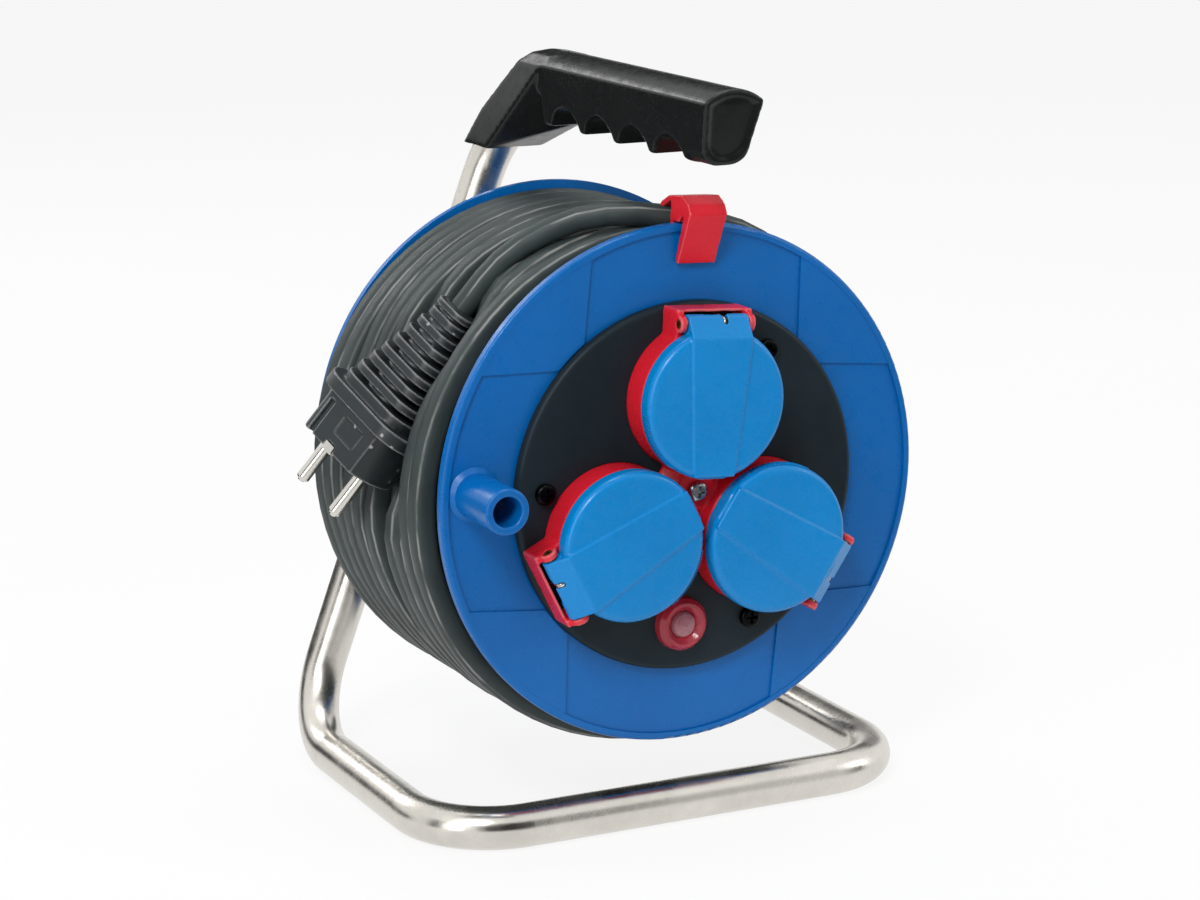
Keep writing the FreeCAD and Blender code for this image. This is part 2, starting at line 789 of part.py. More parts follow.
def cutout_body():
    """The thermal cut-out: a threaded neck through the plate and its case behind."""
    centre = polar(button_circle, 270.0)
    neck = rod(neck_radius, plate_front - neck_stand, base_disc_front + 0.5, centre)
    end = base_disc_front + cutout_length
    case = rod(cutout_radius, base_disc_front, end, centre)
    tabs = [block(s * 3.5 - 1.6, s * 3.5 + 1.6, end - 0.5, end + 7, centre.z - 0.4, centre.z + 0.4)
            for s in (-1, 1)]
    body = joined([neck, case] + tabs)
    well = rod(button_radius + running_gap, plate_front - neck_stand - 1, plate_front + well_depth,
               centre)
    return body.cut(well)


def button_spring():
    """The spring that pushes the button out."""
    wire = 0.4
    centre = polar(button_circle, 270.0)
    start = plate_front + well_depth
    rings = []
    pitch = (well_depth - button_shoulder - running_gap - 2 * wire) / 4
    for k in range(5):
        rings.append(Part.makeTorus(3.0, wire, V(centre.x, start - wire - k * pitch, centre.z), AXIS))
    stay = rod(0.3, start - 4 * pitch - wire, start, centre + V(3.0, 0, 0))
    return joined(rings + [stay])


def reset_button():
    """The domed button with its stem inside the spring."""
    front = plate_front - button_stand
    r = button_radius
    shoulder = plate_front + button_shoulder
    button = turned_profile([(0, front), (r * 0.55, front + 0.35), (r * 0.85, front + 1.1),
                             (r, front + 2.4), (r, shoulder), (2.0, shoulder), (2.0, shoulder + 2),
                             (0, shoulder + 2)])
    button.translate(polar(button_circle, 270.0))
    return button


# Knob and clip

def winding_knob():
    """The hollow knob that turns in the front flange, held by the lip behind it."""
    field = flange_front - running_gap
    lip = flange_back + running_gap
    knob = turned_profile([(knob_bore, knob_front), (knob_radius, knob_front),
                           (knob_radius, field - knob_flare), (knob_radius + knob_flare, field),
                           (knob_neck, field), (knob_neck, lip), (knob_neck + 0.9, lip),
                           (knob_neck + 0.3, lip + 1.6), (knob_bore, lip + 1.6)])
    knob = rounded(knob, knob_round, lambda e: on_ring(e, knob_bore, knob_front)
                   or on_ring(e, knob_radius, knob_front))
    knob.translate(polar(knob_circle, knob_angle))
    return knob


def cable_clip():
    """The sprung clip on the front rim: front tab, hook over the rim and arch over the cable."""
    w = clip_wall
    back = clip_back
    leg = winding_front - running_gap
    r = flange_radius + running_gap
    outline = [(-1.2, 76.4), (-8.5, 94.0), (-6.6, 97.0), (-2.0, 99.4), (7.0, 98.4), (12.6, 95.6),
               (back, 91.6), (back, clip_foot), (back - w, clip_foot), (back - w, 90.8),
               (11.4, 94.0), (7.0, 96.4), (leg, 96.6), (leg, 83.0), (rim_width + running_gap, 83.0),
               (rim_width + running_gap, r), (-running_gap, r), (-2.4, 92.6), (-3.8, 92.2), (0.4, 79.0),
               (0.3, 76.4)]
    corners = [V(-clip_width / 2, y, radius) for y, radius in outline]
    return spun(extruded(corners, V(clip_width, 0, 0)), clip_angle - 90.0)


# Cable inside the drum

def core_grommet():
    """The rubber grommet that lines the cable's entry in the barrel."""
    outer = grommet_radius - seat_gap
    up = V(0, 0, 1)
    neck = Part.makeCylinder(outer, barrel_wall + 2, V(0, entry_y, barrel_inner - 2), up)
    flange = Part.makeCylinder(outer + 1.5, 1.2, V(0, entry_y, barrel_inner - 3), up)
    body = joined([neck, flange])
    body = body.common(rod(barrel_radius - 0.1, 0, drum_width))
    return spun(body, entry_angle - 90.0).cut(swept(inner_path(2.0), cable_diameter / 2 + seat_gap))


def inner_path(extra):
    start = polar(barrel_radius + extra, entry_angle, entry_y)
    elbow = polar(clamp_radius, entry_angle, entry_y)
    finish = polar(clamp_radius, entry_angle, clamp_y - clamp_length / 2 - 1)
    return bent_path([start, elbow, finish], [inner_bend])


def inner_cable():
    """The sheathed end of the cable inside the barrel, from the grommet to the clamp."""
    return swept(inner_path(-0.2), cable_diameter / 2)


def clamp_screw_places():
    return [spun(Part.Vertex(V(side * clamp_screw_spacing / 2, 0, clamp_radius)),
                 entry_angle - 90.0).Point for side in (-1, 1)]


def cord_clamp():
    """The bridge on two feet that grips the sheath behind the contact carrier."""
    half = cable_diameter / 2
    front = clamp_y - clamp_length / 2
    back = clamp_y + clamp_length / 2
    saddle = block(-clamp_half_width, clamp_half_width, front, back, clamp_radius - half - 2.4,
                   clamp_radius + half + 2.4)
    saddle = saddle.cut(rod(half + fit_gap, front - 1, back + 1, V(0, 0, clamp_radius)))
    solids = [spun(saddle, entry_angle - 90.0)]
    solids += [rod(boss_radius, carrier_back, front + 0.5, place) for place in clamp_screw_places()]
    clamp = joined(solids)
    for place in clamp_screw_places():
        clamp = clamp.cut(rod(thread_hole, carrier_back - 1, back + 1, place))
    return clamp


def clamp_screws():
    screws = []
    for place in clamp_screw_places():
        screw = pan_screw(ORIGIN, 0.0, clamp_screw_length)
        screw.rotate(ORIGIN, V(0, 0, 1), 180)
        screw.translate(V(place.x, clamp_y + clamp_length / 2, place.z))
        screws.append(screw)
    return group(screws)


# Frame

def upright_x(z):
    """Where the leaning upright's centre line is at a height."""
    return -base_half_width + lean * (z - base_level)


def frame_points():
    """The corners of the tube's centre line, from its end in the grip to the rear right corner."""
    bend_x = upright_x(neck_bend_height)
    return [V(0, grip_tube_front, grip_tube_height), V(0, neck_bend_front, grip_tube_height),
            V(bend_x, frame_back, neck_bend_height), V(-base_half_width, frame_back, base_level),
            V(-base_half_width, base_front, base_level), V(base_half_width, base_front, base_level),
            V(base_half_width, frame_back, base_level)]


def strut_end():
    """Where the strut through the axle meets the upright's centre line."""
    corner = V(base_half_width, frame_back, base_level)
    slope = -corner.x / -corner.z
    height = (-base_half_width - lean * base_level) / (slope - lean)
    return V(slope * height, frame_back, height)


def frame_tube():
    """One bent tube: grip, upright, U-shaped base and the strut that carries the axle."""
    corners = frame_points()
    half_way = V(base_half_width, (base_front + frame_back) / 2, base_level)
    main = bent_path(corners[:-1] + [half_way], [neck_bend, neck_bend, base_bend, base_bend,
                                                 base_bend])
    strut = bent_path([half_way, corners[-1], strut_end()], [base_bend])
    bore_radius = tube_radius - tube_wall
    upright = Part.makeCylinder(tube_radius, 120.0, strut_end() - upright_way * 60.0, upright_way)
    strut_outside = swept(strut, tube_radius).cut(upright)
    strut_bore = swept(strut, bore_radius).cut(upright)
    shell = swept(main, tube_radius).fuse(strut_outside)
    shell = shell.cut(swept(main, bore_radius)).cut(strut_bore)
    screw = rod(shank_radius + fit_gap, grip_screw_seat - grip_screw_length, grip_screw_seat + 20,
                grip_screw_place)
    head = rod(screw_head_radius + 0.3, grip_screw_seat - seat_gap, grip_screw_seat + 20,
               grip_screw_place)
    return shell.cut(rod(axle_radius + fit_gap, frame_back - tube_diameter,
                         frame_back + tube_diameter)).cut(screw).cut(head)


def bar_section(y):
    """The grip's outline across its length: narrow below, crowned above."""
    half = grip_half_width
    foot = grip_foot_half_width
    edge = grip_top - grip_crown
    low_left = V(-foot, y, grip_underside)
    low_right = V(foot, y, grip_underside)
    left = V(-half, y, edge)
    right = V(half, y, edge)
    crown = Part.Arc(left, V(0, y, grip_top), right).toShape()
    return Part.Wire([Part.makeLine(right, low_right), Part.makeLine(low_right, low_left),
                      Part.makeLine(low_left, left), crown])


def finger_hollows():
    hollows = []
    centre = hollow_top - hollow_radius
    for k in range(hollow_count):
        start = V(-grip_half_width - 5, hollow_first + k * hollow_pitch, centre)
        hollows.append(Part.makeCylinder(hollow_radius, 2 * grip_half_width + 10, start, V(1, 0, 0)))
    return hollows


def neck():
    """The limb that carries the grip back and down to the upright."""
    left_foot = upright_x(neck_foot) - tube_radius - 1.3
    edge = grip_top - grip_crown
    rear_foot = frame_back + tube_radius + neck_wall - 0.9
    side = [V(0, grip_shoulder - 6, grip_top + 1), V(0, neck_bend_front + 0.7, grip_top + 1),
            V(0, neck_bend_front + 4.3, grip_top - 1.9), V(0, neck_bend_front + 15, grip_top - 11.1),
            V(0, rear_foot - 9.2, neck_foot + 13.5), V(0, rear_foot, neck_foot),
            V(0, neck_front, neck_foot), V(0, grip_shoulder - 2, grip_underside),
            V(0, grip_shoulder - 6, grip_underside)]
    slab = extruded([p + V(-60, 0, 0) for p in side], V(120, 0, 0))
    half = grip_half_width
    front = [V(left_foot, 0, neck_foot - 1), V(grip_foot_half_width - 3.7, 0, neck_foot - 1),
             V(grip_foot_half_width, 0, grip_underside), V(half, 0, edge), V(half - 4, 0, grip_top - 1),
             V(0, 0, grip_top), V(-half + 4, 0, grip_top - 1), V(-half, 0, edge),
             V(-half - 1, 0, grip_top - 8.7)]
    plate = extruded(front, V(0, 220, 0))
    limb = slab.common(plate)
    corner_a = V(-half - 1.2, grip_shoulder, grip_top - 8.7)
    corner_b = V(left_foot - 0.4, neck_front + 1, neck_foot)
    corner_c = V(0, grip_shoulder + 1, grip_underside + 1)
    normal = (corner_b - corner_a).cross(corner_c - corner_a).normalize()
    along = (corner_b - corner_a).normalize()
    across = normal.cross(along)
    middle = (corner_a + corner_b) / 2
    wedge = extruded([middle + along * 80 + across * 80, middle - along * 80 + across * 80,
                      middle - along * 80 - across * 80, middle + along * 80 - across * 80],
                     normal * 60)
    return limb.cut(wedge)


def handle_grip():
    """The moulded grip: crowned bar, raked nose, finger hollows and the limb over the tube."""
    bar = Part.Face(bar_section(grip_front)).extrude(V(0, grip_shoulder - grip_front, 0))
    rake = extruded([V(-20, grip_front, grip_top + 1), V(-20, grip_front, grip_top - 4),
                     V(-20, grip_front_foot, grip_underside - 1), V(-20, grip_front - 30,
                                                                    grip_underside - 1),
                     V(-20, grip_front - 30, grip_top + 1)], V(40, 0, 0))
    bar = bar.cut(rake)
    hollows = finger_hollows()
    bar = bar.cut(hollows[0].multiFuse(hollows[1:]))
    body = bar.fuse(neck()).removeSplitter()
    sleeve = swept(bent_path([grip_tube_end(-fit_gap)] + frame_points()[1:4],
                             [neck_bend, neck_bend]), tube_radius + fit_gap)
    seat = rod(screw_head_radius + 0.3, grip_screw_seat, grip_screw_seat + 30, grip_screw_place)
    hole = rod(shank_radius + fit_gap, grip_screw_seat - grip_screw_length - 1, grip_screw_seat + 1,
               grip_screw_place)
    return body.cut(sleeve).cut(seat).cut(hole)


def grip_tube_end(extra):
    return V(0, grip_tube_front + extra, grip_tube_height)


def grip_screw():
    screw = pan_screw(ORIGIN, 0.0, grip_screw_length)
    screw.rotate(ORIGIN, V(0, 0, 1), 180)
    screw.translate(V(grip_screw_place.x, grip_screw_seat, grip_screw_place.z))
    return screw


# Axle

def saddle_washers():
    """Two washers with one hollow face, which seat on the round strut in front and behind."""
    way = strut_way
    strut = Part.makeCylinder(tube_radius + 0.02, 80.0, V(0, frame_back, 0) - way * 40.0, way)
    bore = rod(axle_radius + fit_gap, saddle_front - 1, saddle_back + 1)
    front = rod(washer_radius, saddle_front, frame_back - tube_radius + saddle_depth)
    back = rod(washer_radius, frame_back + tube_radius - saddle_depth, saddle_back)
    return group([front.cut(strut).cut(bore), back.cut(strut).cut(bore)])


def thrust_washer():
    return pipe(washer_radius, axle_radius + fit_gap, saddle_front - washer_thickness, saddle_front)


def axle_washer():
    """The washer in front of the hub that keeps the drum on the bolt."""
    back = hub_front - bush_flange - running_gap
    return pipe(washer_radius, axle_radius + fit_gap, back - washer_thickness, back)


def hexagon(across_flats, y0, y1):
    radius = across_flats / 2 / math.cos(math.pi / 6)
    return extruded([polar(radius, 60.0 * k, y0) for k in range(6)], V(0, y1 - y0, 0))


def axle_nut():
    back = hub_front - bush_flange - running_gap - washer_thickness
    nut = hexagon(nut_across_flats, back - nut_height, back)
    return nut.cut(rod(axle_radius + 0.02, back - nut_height - 1, back + 1))


def axle_bolt():
    nut_front = hub_front - bush_flange - running_gap - washer_thickness - nut_height
    shank = rod(axle_radius, nut_front - 2.0, saddle_back)
    head = hexagon(nut_across_flats, saddle_back, saddle_back + bolt_head_height)
    crown = Part.makeCone(nut_across_flats * 0.49, nut_across_flats * 0.62, 3.0,
                          V(0, saddle_back + bolt_head_height, 0), V(0, -1, 0))
    lower = rod(nut_across_flats, saddle_back, saddle_back + bolt_head_height - 3.0)
    head = head.common(crown.fuse(lower))
    return shank.fuse(head).removeSplitter()


# Cable and plug

def winding_profile():
    """Half of the wound cable's section, as (radius, y): two bundles with a groove between them."""
    r = winding_radius
    front = winding_front
    back = rear_flange_front - running_gap
    groove = winding_groove
    return [(20.0, front), (r - 6, front), (r - 1.2, front + 3.5), (r, front + 8),
            (r, groove - 8), (r - 5, groove), (r, groove + 7), (r, back - 8), (r - 1.2, back - 3.5),
            (r - 6, back), (20.0, back)]


def plug_frame():
    """The plug's own frame: Z to the pins, X along the pair of pins, Y out of the visible flat."""
    ahead = plug_axis.normalize()
    across = (plug_pin_line - ahead * plug_pin_line.dot(ahead)).normalize()
    out = ahead.cross(across)
    c = plug_collar_centre
    return FreeCAD.Placement(FreeCAD.Matrix(across.x, out.x, ahead.x, c.x,
                                            across.y, out.y, ahead.y, c.y,
                                            across.z, out.z, ahead.z, c.z, 0, 0, 0, 1))


def in_plug_frame(shape):
    shape.transformShape(plug_frame().toMatrix())
    return shape


def oval(half_x, half_y, z0, z1):
    """A rounded block across the plug's axis."""
    corner = min(half_x, half_y) * 0.75
    box = Part.makeBox(2 * half_x, 2 * half_y, z1 - z0, V(-half_x, -half_y, z0))
    return box.makeFillet(corner, [e for e in box.Edges if abs(e.Length - (z1 - z0)) < 1e-6
                                   and abs(e.tangentAt(e.FirstParameter).z) > 0.99])


def flatted(radius, half_depth, z0, z1):
    """A round bar with two flats."""
    return Part.makeCylinder(radius, z1 - z0, V(0, 0, z0)).common(
        Part.makeBox(4 * radius, 2 * half_depth, z1 - z0, V(-2 * radius, -half_depth, z0)))


def plug_body():
    """The moulded plug: flat-sided body, finger collar and the ribbed relief down to the cable."""
    face = plug_face
    body = flatted(plug_half_width, plug_half_depth, 0, face)
    collar = oval(collar_half_width, collar_half_depth, -collar_thickness / 2, collar_thickness / 2)
    solids = [body, collar]
    ribs = 8
    length = relief_length - collar_thickness / 2
    pitch = length / (ribs + 0.5)
    core = Part.makeCone(relief_core, cable_diameter / 2 + 1.6, length + 1,
                         V(0, 0, -collar_thickness / 2 + 0.5), V(0, 0, -1))
    solids.append(core)
    for k in range(ribs):
        share = k / (ribs - 1)
        z = -collar_thickness / 2 - 0.6 - k * pitch
        half_x = relief_wide + (relief_end_wide - relief_wide) * share
        half_y = relief_deep + (relief_end_deep - relief_deep) * share
        solids.append(oval(half_x, half_y, z - pitch * 0.62, z))
    solids.append(oval(relief_end_wide, relief_end_deep, -relief_length, -relief_length + 2.4))
    plug = joined(solids)
    recess = flatted(plug_half_width - plug_rim, plug_half_depth - plug_rim, face - plug_recess,
                     face + 1)
    cuts = [recess]
    for side in (-1, 1):
        cuts.append(Part.makeCylinder(plug_pin_root_radius + fit_gap, plug_pin_root + 1.0,
                                      V(side * pin_spacing / 2, 0,
                                        face - plug_recess - plug_pin_root - 0.5)))
    cable = Part.makeCylinder(cable_diameter / 2, cable_seat, V(0, 0, -relief_length - 0.01))
    cuts.append(cable)
    for side in (-1, 1):
        cuts.append(Part.makeBox(earth_width + 0.2, 2.0, earth_wrap + plug_recess,
                                 V(-earth_width / 2 - 0.1, side * plug_half_depth - 1.0,
                                   face - earth_wrap)))
    return plug.cut(cuts[0].multiFuse(cuts[1:]))


def plug_insert():
    """The hard disc in the face that holds the pins."""
    disc = flatted(plug_half_width - plug_rim - 0.1, plug_half_depth - plug_rim - 0.1,
                   plug_face - plug_recess, plug_face - plug_recess + plug_insert_thickness)
    for side in (-1, 1):
        disc = disc.cut(Part.makeCylinder(plug_pin_root_radius + fit_gap, 6,
                                          V(side * pin_spacing / 2, 0, plug_face - plug_recess - 1)))
    return disc


def plug_pins():
    pins = []
    seat = plug_face - plug_recess + plug_insert_thickness
    tip = plug_face + plug_pin_length
    for side in (-1, 1):
        x = side * pin_spacing / 2
        pin = Part.makeCylinder(plug_pin_radius, tip - seat, V(x, 0, seat))
        end = [e for e in pin.Edges if abs(e.CenterOfMass.z - tip) < 1e-6]
        pin = pin.makeFillet(plug_pin_radius * 0.6, end)
        length = plug_insert_thickness + plug_pin_root
        root = Part.makeCylinder(plug_pin_root_radius, length + 0.5, V(x, 0, seat - length))
        pins.append(pin.fuse(root))
    return group(pins)


def plug_earth_contacts():
    """The earth strip across the face, with an end folded over each flat."""
    half = plug_half_depth
    z = plug_face
    depth = plug_recess - plug_insert_thickness
    base = Part.makeBox(earth_width, 2 * (half - plug_rim), 0.8,
                        V(-earth_width / 2, -half + plug_rim, z - depth))
    solids = [base]
    for side in (-1, 1):
        inner = side * (half - plug_rim - 0.4)
        outer = side * (half + 0.2)
        y0 = min(inner, outer)
        solids.append(Part.makeBox(earth_width, 0.8, depth + 0.4, V(-earth_width / 2,
                                                                   inner - 0.4, z - depth)))
        solids.append(Part.makeBox(earth_width, abs(outer - inner), 0.6,
                                   V(-earth_width / 2, y0, z + 0.05)))
        solids.append(Part.makeBox(earth_width, 0.6, earth_wrap + 0.4,
                                   V(-earth_width / 2, outer - (0.6 if side > 0 else 0),
                                     z - earth_wrap + 0.25)))
    return joined(solids)


def tail_path():
    """The cable from the plug through the clip and back under the outer turns."""
    points = [plug_frame().multVec(V(0, 0, -relief_length))] + tail_points
    radii = []
    for i in range(1, len(points) - 1):
        back = points[i] - points[i - 1]
        ahead = points[i + 1] - points[i]
        shorter = min(back.Length, ahead.Length)
        radii.append(0.45 * shorter / math.tan(back.getAngle(ahead) / 2))
    print("tail radii", [round(r, 1) for r in radii])
    path = bent_path(points, radii)
    print("tail length", round(path.Length, 1))
    return path


def cable_tail():
    tube = swept(tail_path(), cable_diameter / 2)
    print("tail volume ratio", tube.Volume / (tail_path().Length * math.pi * cable_diameter ** 2 / 4))
    return tube


def plug_room():
    """The space that the plug and its relief take in the wound cable."""
    gap = 0.4
    contact_stand = 0.65
    deep = 60.0
    head = Part.makeBox(2 * collar_half_width + 2 * gap, collar_half_depth + gap + deep,
                        plug_face + contact_stand + collar_thickness / 2 + 2 * gap,
                        V(-collar_half_width - gap, -collar_half_depth - gap,
                          -collar_thickness / 2 - gap))
    corners = []
    for z, half_x, half_y in ((-collar_thickness / 2, relief_wide, relief_deep),
                              (-relief_length - 1, relief_end_wide, relief_end_deep)):
        x = half_x + relief_gap
        y = -half_y - relief_gap
        corners.append([V(-x, y, z), V(x, y, z), V(x, deep, z), V(-x, deep, z)])
    back = Part.makeLoft([Part.makePolygon(c + c[:1]) for c in corners], True, True)
    return in_plug_frame(head.fuse(back))


def cable_winding():
    """The wound cable as one closed solid, with the bed of the plug and the room of the clip."""
    drum = turned_profile(winding_profile())
    drum.translate(winding_sag)
    drum = drum.cut(rod(barrel_radius + seat_gap, 0, drum_width))
    drum = drum.cut(plug_room())
    half = clip_width / 2 + 0.4
    room = block(-half, half, 0, clip_back + 0.4, clip_foot - 0.4, 130.0)
    return drum.cut(spun(room, clip_angle - drum_turn - 90.0))


def placed(shape):
    shape.translate(V(0, front_plane, axle_height))
    return shape


def on_drum(shape):
    """A drum piece at the drum's turn at rest, in the reel's own frame."""
    return placed(spun(shape, -drum_turn))


def main():
    os.makedirs("parts", exist_ok=True)
    lids = {"lid_top": 90.0, "lid_left": 210.0, "lid_right": 330.0}
    nodes = {
        "frame_tube": placed(frame_tube()),
        "handle_grip": placed(handle_grip()),
        "grip_screw": placed(grip_screw()),
        "axle_bolt": placed(axle_bolt()),
        "axle_nut": placed(axle_nut()),
        "axle_washer": placed(axle_washer()),
        "saddle_washers": placed(saddle_washers()),
        "thrust_washer": placed(thrust_washer()),
        "drum_front": on_drum(drum_front()),
        "drum_rear": on_drum(drum_rear()),
        "drum_screws": on_drum(rear_screws()),
        "hub_bushes": on_drum(hub_bushes()),
        "face_plate": on_drum(face_plate()),
        "plate_gasket": on_drum(plate_gasket()),
        "plate_screws": on_drum(plate_screws()),
        "socket_block": on_drum(socket_block()),
        "socket_floors": on_drum(socket_floors()),
        "centre_screw": on_drum(centre_screw()),
        "contact_carrier": on_drum(contact_carrier()),
        "line_contacts": on_drum(line_contacts()),
        "neutral_contacts": on_drum(neutral_contacts()),
        "earth_bows": on_drum(earth_bows()),
        "earth_bar": on_drum(earth_bar()),
        "hinge_pins": on_drum(hinge_pins()),
        "lid_springs": on_drum(lid_springs()),
        "cutout_body": on_drum(cutout_body()),
        "button_guard": on_drum(button_guard()),
        "button_spring": on_drum(button_spring()),
        "reset_button": on_drum(reset_button()),
        "winding_knob": on_drum(winding_knob()),
        "cable_clip": on_drum(cable_clip()),
        "core_grommet": on_drum(core_grommet()),
        "inner_cable": on_drum(inner_cable()),
        "cord_clamp": on_drum(cord_clamp()),
        "clamp_screws": on_drum(clamp_screws()),
        "cable_winding": placed(cable_winding()),
        "cable_tail": placed(cable_tail()),
        "plug_body": placed(in_plug_frame(plug_body())),
        "plug_insert": placed(in_plug_frame(plug_insert())),
        "plug_pins": placed(in_plug_frame(plug_pins())),
        "plug_earth_contacts": placed(in_plug_frame(plug_earth_contacts())),
    }
    for name, angle in lids.items():
        nodes[name] = on_drum(at_socket(lid(), angle))
        nodes[name + "_seal"] = on_drum(at_socket(lid_seal(), angle))
    for name, shape in nodes.items():
        if not shape.isValid():
            print("not valid:", name)
        shape.exportStep("parts/" + name + ".step")
    print(len(nodes), "nodes")


main()
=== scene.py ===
"""Extension cord reel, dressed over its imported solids.

Lengths are metres. X runs to the right, Y from the front to the back and Z up, and the reel stands
on z = 0. Places on the reel are written in millimetres about the drum's axis, with y = 0 in the
plane of the front flange's rim, and at() turns them into metres in the shared frame.
"""
import math

import bpy
import numpy as np
from bpy.props import FloatProperty, FloatVectorProperty, IntProperty, PointerProperty
from mathutils import Matrix, Vector


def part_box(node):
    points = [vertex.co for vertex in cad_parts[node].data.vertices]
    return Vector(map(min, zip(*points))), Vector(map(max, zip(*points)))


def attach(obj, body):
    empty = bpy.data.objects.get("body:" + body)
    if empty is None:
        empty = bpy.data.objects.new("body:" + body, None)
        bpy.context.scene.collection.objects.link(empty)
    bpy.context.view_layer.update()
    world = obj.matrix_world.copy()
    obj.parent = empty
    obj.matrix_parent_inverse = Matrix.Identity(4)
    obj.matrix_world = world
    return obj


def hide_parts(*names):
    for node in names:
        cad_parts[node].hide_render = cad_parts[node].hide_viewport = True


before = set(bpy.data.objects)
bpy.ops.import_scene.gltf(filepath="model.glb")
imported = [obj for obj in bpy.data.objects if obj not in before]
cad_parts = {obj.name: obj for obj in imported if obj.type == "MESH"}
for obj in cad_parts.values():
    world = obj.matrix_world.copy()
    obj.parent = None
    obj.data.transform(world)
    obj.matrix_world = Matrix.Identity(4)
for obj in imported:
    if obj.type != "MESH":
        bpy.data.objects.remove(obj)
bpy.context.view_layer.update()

bl_info = {
    "name": "Extension cord reel",
    "version": (1, 0, 0),
    "blender": (4, 5, 0),
    "location": "View3D > Sidebar > Reel",
    "description": "Builds the looks of an extension cord reel around its solids",
    "category": "Object",
}

# Places that the solids share with this script, in millimetres about the drum's axis
AXIS_HEIGHT = 120.0
FRONT_PLANE = -56.05
DRUM_TURN = 3.7
PLUG_CENTRE = Vector((-87.2, 56.8, 22.1))
PLUG_AXIS = Vector((-0.531, 0.297, -0.794)).normalized()
PLUG_PIN_LINE = Vector((0.269, -0.829, -0.490))
RELIEF_LENGTH = 45.8
LID_ANGLES = {"lid_top": 90.0, "lid_left": 210.0, "lid_right": 330.0}
SOCKET_CIRCLE = 31.65
LID_RADIUS = 25.9
HINGE = (-14.5, 58.2)
SPRING_LEG = 2.46
TAIL = [(30.0, 10.2, 83.5), (4.6, 9.7, 90.0), (-24.0, 22.0, 93.0), (-49.1, 35.5, 79.1)]

# The roof over each lid's spring and the lid's serrations, in millimetres and degrees
NOTCH_HALF = 0.8
NOTCH_OVERLAP = 0.1
ROOF_HALF = 4.7
ROOF_OUTSIDE = 3.2
ROOF_INSIDE = 2.65
ROOF_FRONT = 100.0
ROOF_BACK = 4.0
ROOF_STEP = 12.0
ROOF_FOOT = ((3.05, 3.6), (3.05, 0.4), (2.55, 1.2), (2.4, 3.6))
SERRATION_START = 188.0
SERRATION_SPAN = 46.0
SERRATION_COUNT = 24
SKIRT_MIDDLE = -16.9

# The winding, in millimetres and degrees round the drum
TURN_PITCH = 8.45
CORE_RADIUS = 64.3
LAYER_RISE = 7.5
WINDING_SAG = (-2.2, -3.3)
INLET_TURN = (44.0, -0.5)
FIRST_TURN = 14.2
LAST_TURN = 103.0
PLUG_LAYER = (103.0, 94.6, 86.2, 77.8, 69.4, 61.0, 43.8, 35.4, 27.0, 18.6, 10.1)
INLET_ANGLE = 235.0
CROSSING_ANGLE = 280.0
CROSSING_SPAN = 70.0
INLET_SPAN = 60.0
INLET_LAYER = -0.58
LAST_CROSSING = 315.0
TAIL_SPAN = 98.0
UNEVEN = 0.45
WOUND_SQUARE = 3.9
FREE_SQUARE = 2.0
FREE_END = (0.20, 0.10)

# Degrees between the spline's points, and the share of their radius that the spline reaches
COARSE_POINTS = (30.0, 0.966)
FINE_POINTS = (15.0, 0.9915)
FINE_LAYER = 1.5

# Half width and depth of the bed that the plug presses into the coil, in millimetres
PLUG_BED = (18.4, 13.0)
COLLAR_BED = (22.0, 14.8)
RELIEF_BED = (17.6, 12.0)
RELIEF_TAPER = (9.6, 5.0)
COLLAR_HALF = 2.5
BED_GAP = 4.6
BED_SIDES = (3.0, 9.0)
BED_TAIL = (6.0, 4.0)
BED_HEAD = (19.5, 25.0)

# Thin pale lines along the turns' shoulders: place round the sheath, strength, and where a line
# starts and ends
PALE_LINES = ((0.135, 0.4, 0.006, 0.016), (0.868, 1.0, 0.007, 0.019))
PALE_LINE_TINT = (0.24, 0.25, 0.235)

# The plug's details, in millimetres in its own frame
FLAT_HEIGHT = 11.2
FLAT_START = 3.0
GROOVE_PLACE = 10.2
GROOVE_DEPTH = 1.7
GROOVE_EDGE = (0.8, 1.25)
GROOVE_START = (4.6, 5.4)
FIELD_PLACE = 13.2
FIELD_DEPTH = 0.45
FIELD_EDGE = (4.8, 5.2)
FIELD_START = (5.6, 6.0)
FIELD_END = (12.2, 12.6)

# Edges: voxel size of the fine mesh in metres, and how often it is relaxed
SOFT_PLUG = (0.00042, 4)
SOFT_GRIP = (0.00062, 16)
SOFT_LID = (0.00036, 5)
SOFT_SOCKETS = (0.0006, 6)
SOFT_CLIP = (0.00032, 7)
RELAX = 0.5
LEAST_SPIKE = 0.00001
SPIKE_ABOVE = 2.2

# The grip's nose, in metres
NOSE_DEPTH = 0.012
NOSE_LEVELS = (0.004, 0.016)
NOSE_RADIUS = 0.0064
NOSE_CORNER = 0.0078
NOSE_CROWN = 0.0040
NOSE_DISH = 0.0009

# The stage: where lamps point, and the camera at the photograph's angle
STAGE_TARGET = (0.0, 0.0, 0.12)
GRIP_TARGET = (0.0, 0.0, 0.24)
CAMERA_PLACE = (-0.5043, -1.00195, 0.3838)
CAMERA_ACROSS = (0.8946, -0.4468, 0.0)
CAMERA_BACK = (-0.43498, -0.87090, 0.22852)
CAMERA_LENS = 97.5


def at(x, y, z):
    """A place about the drum's axis, in the shared frame."""
    return Vector((x / 1000.0, (y + FRONT_PLANE) / 1000.0, (z + AXIS_HEIGHT) / 1000.0))


def by_angle(angle):
    """Turns a place drawn for the top socket to the socket at an angle."""
    turn = math.radians(angle - 90.0 - DRUM_TURN)

    def placed(x, y, z):
        return at(x * math.cos(turn) - z * math.sin(turn), y,
                  x * math.sin(turn) + z * math.cos(turn))
    return placed


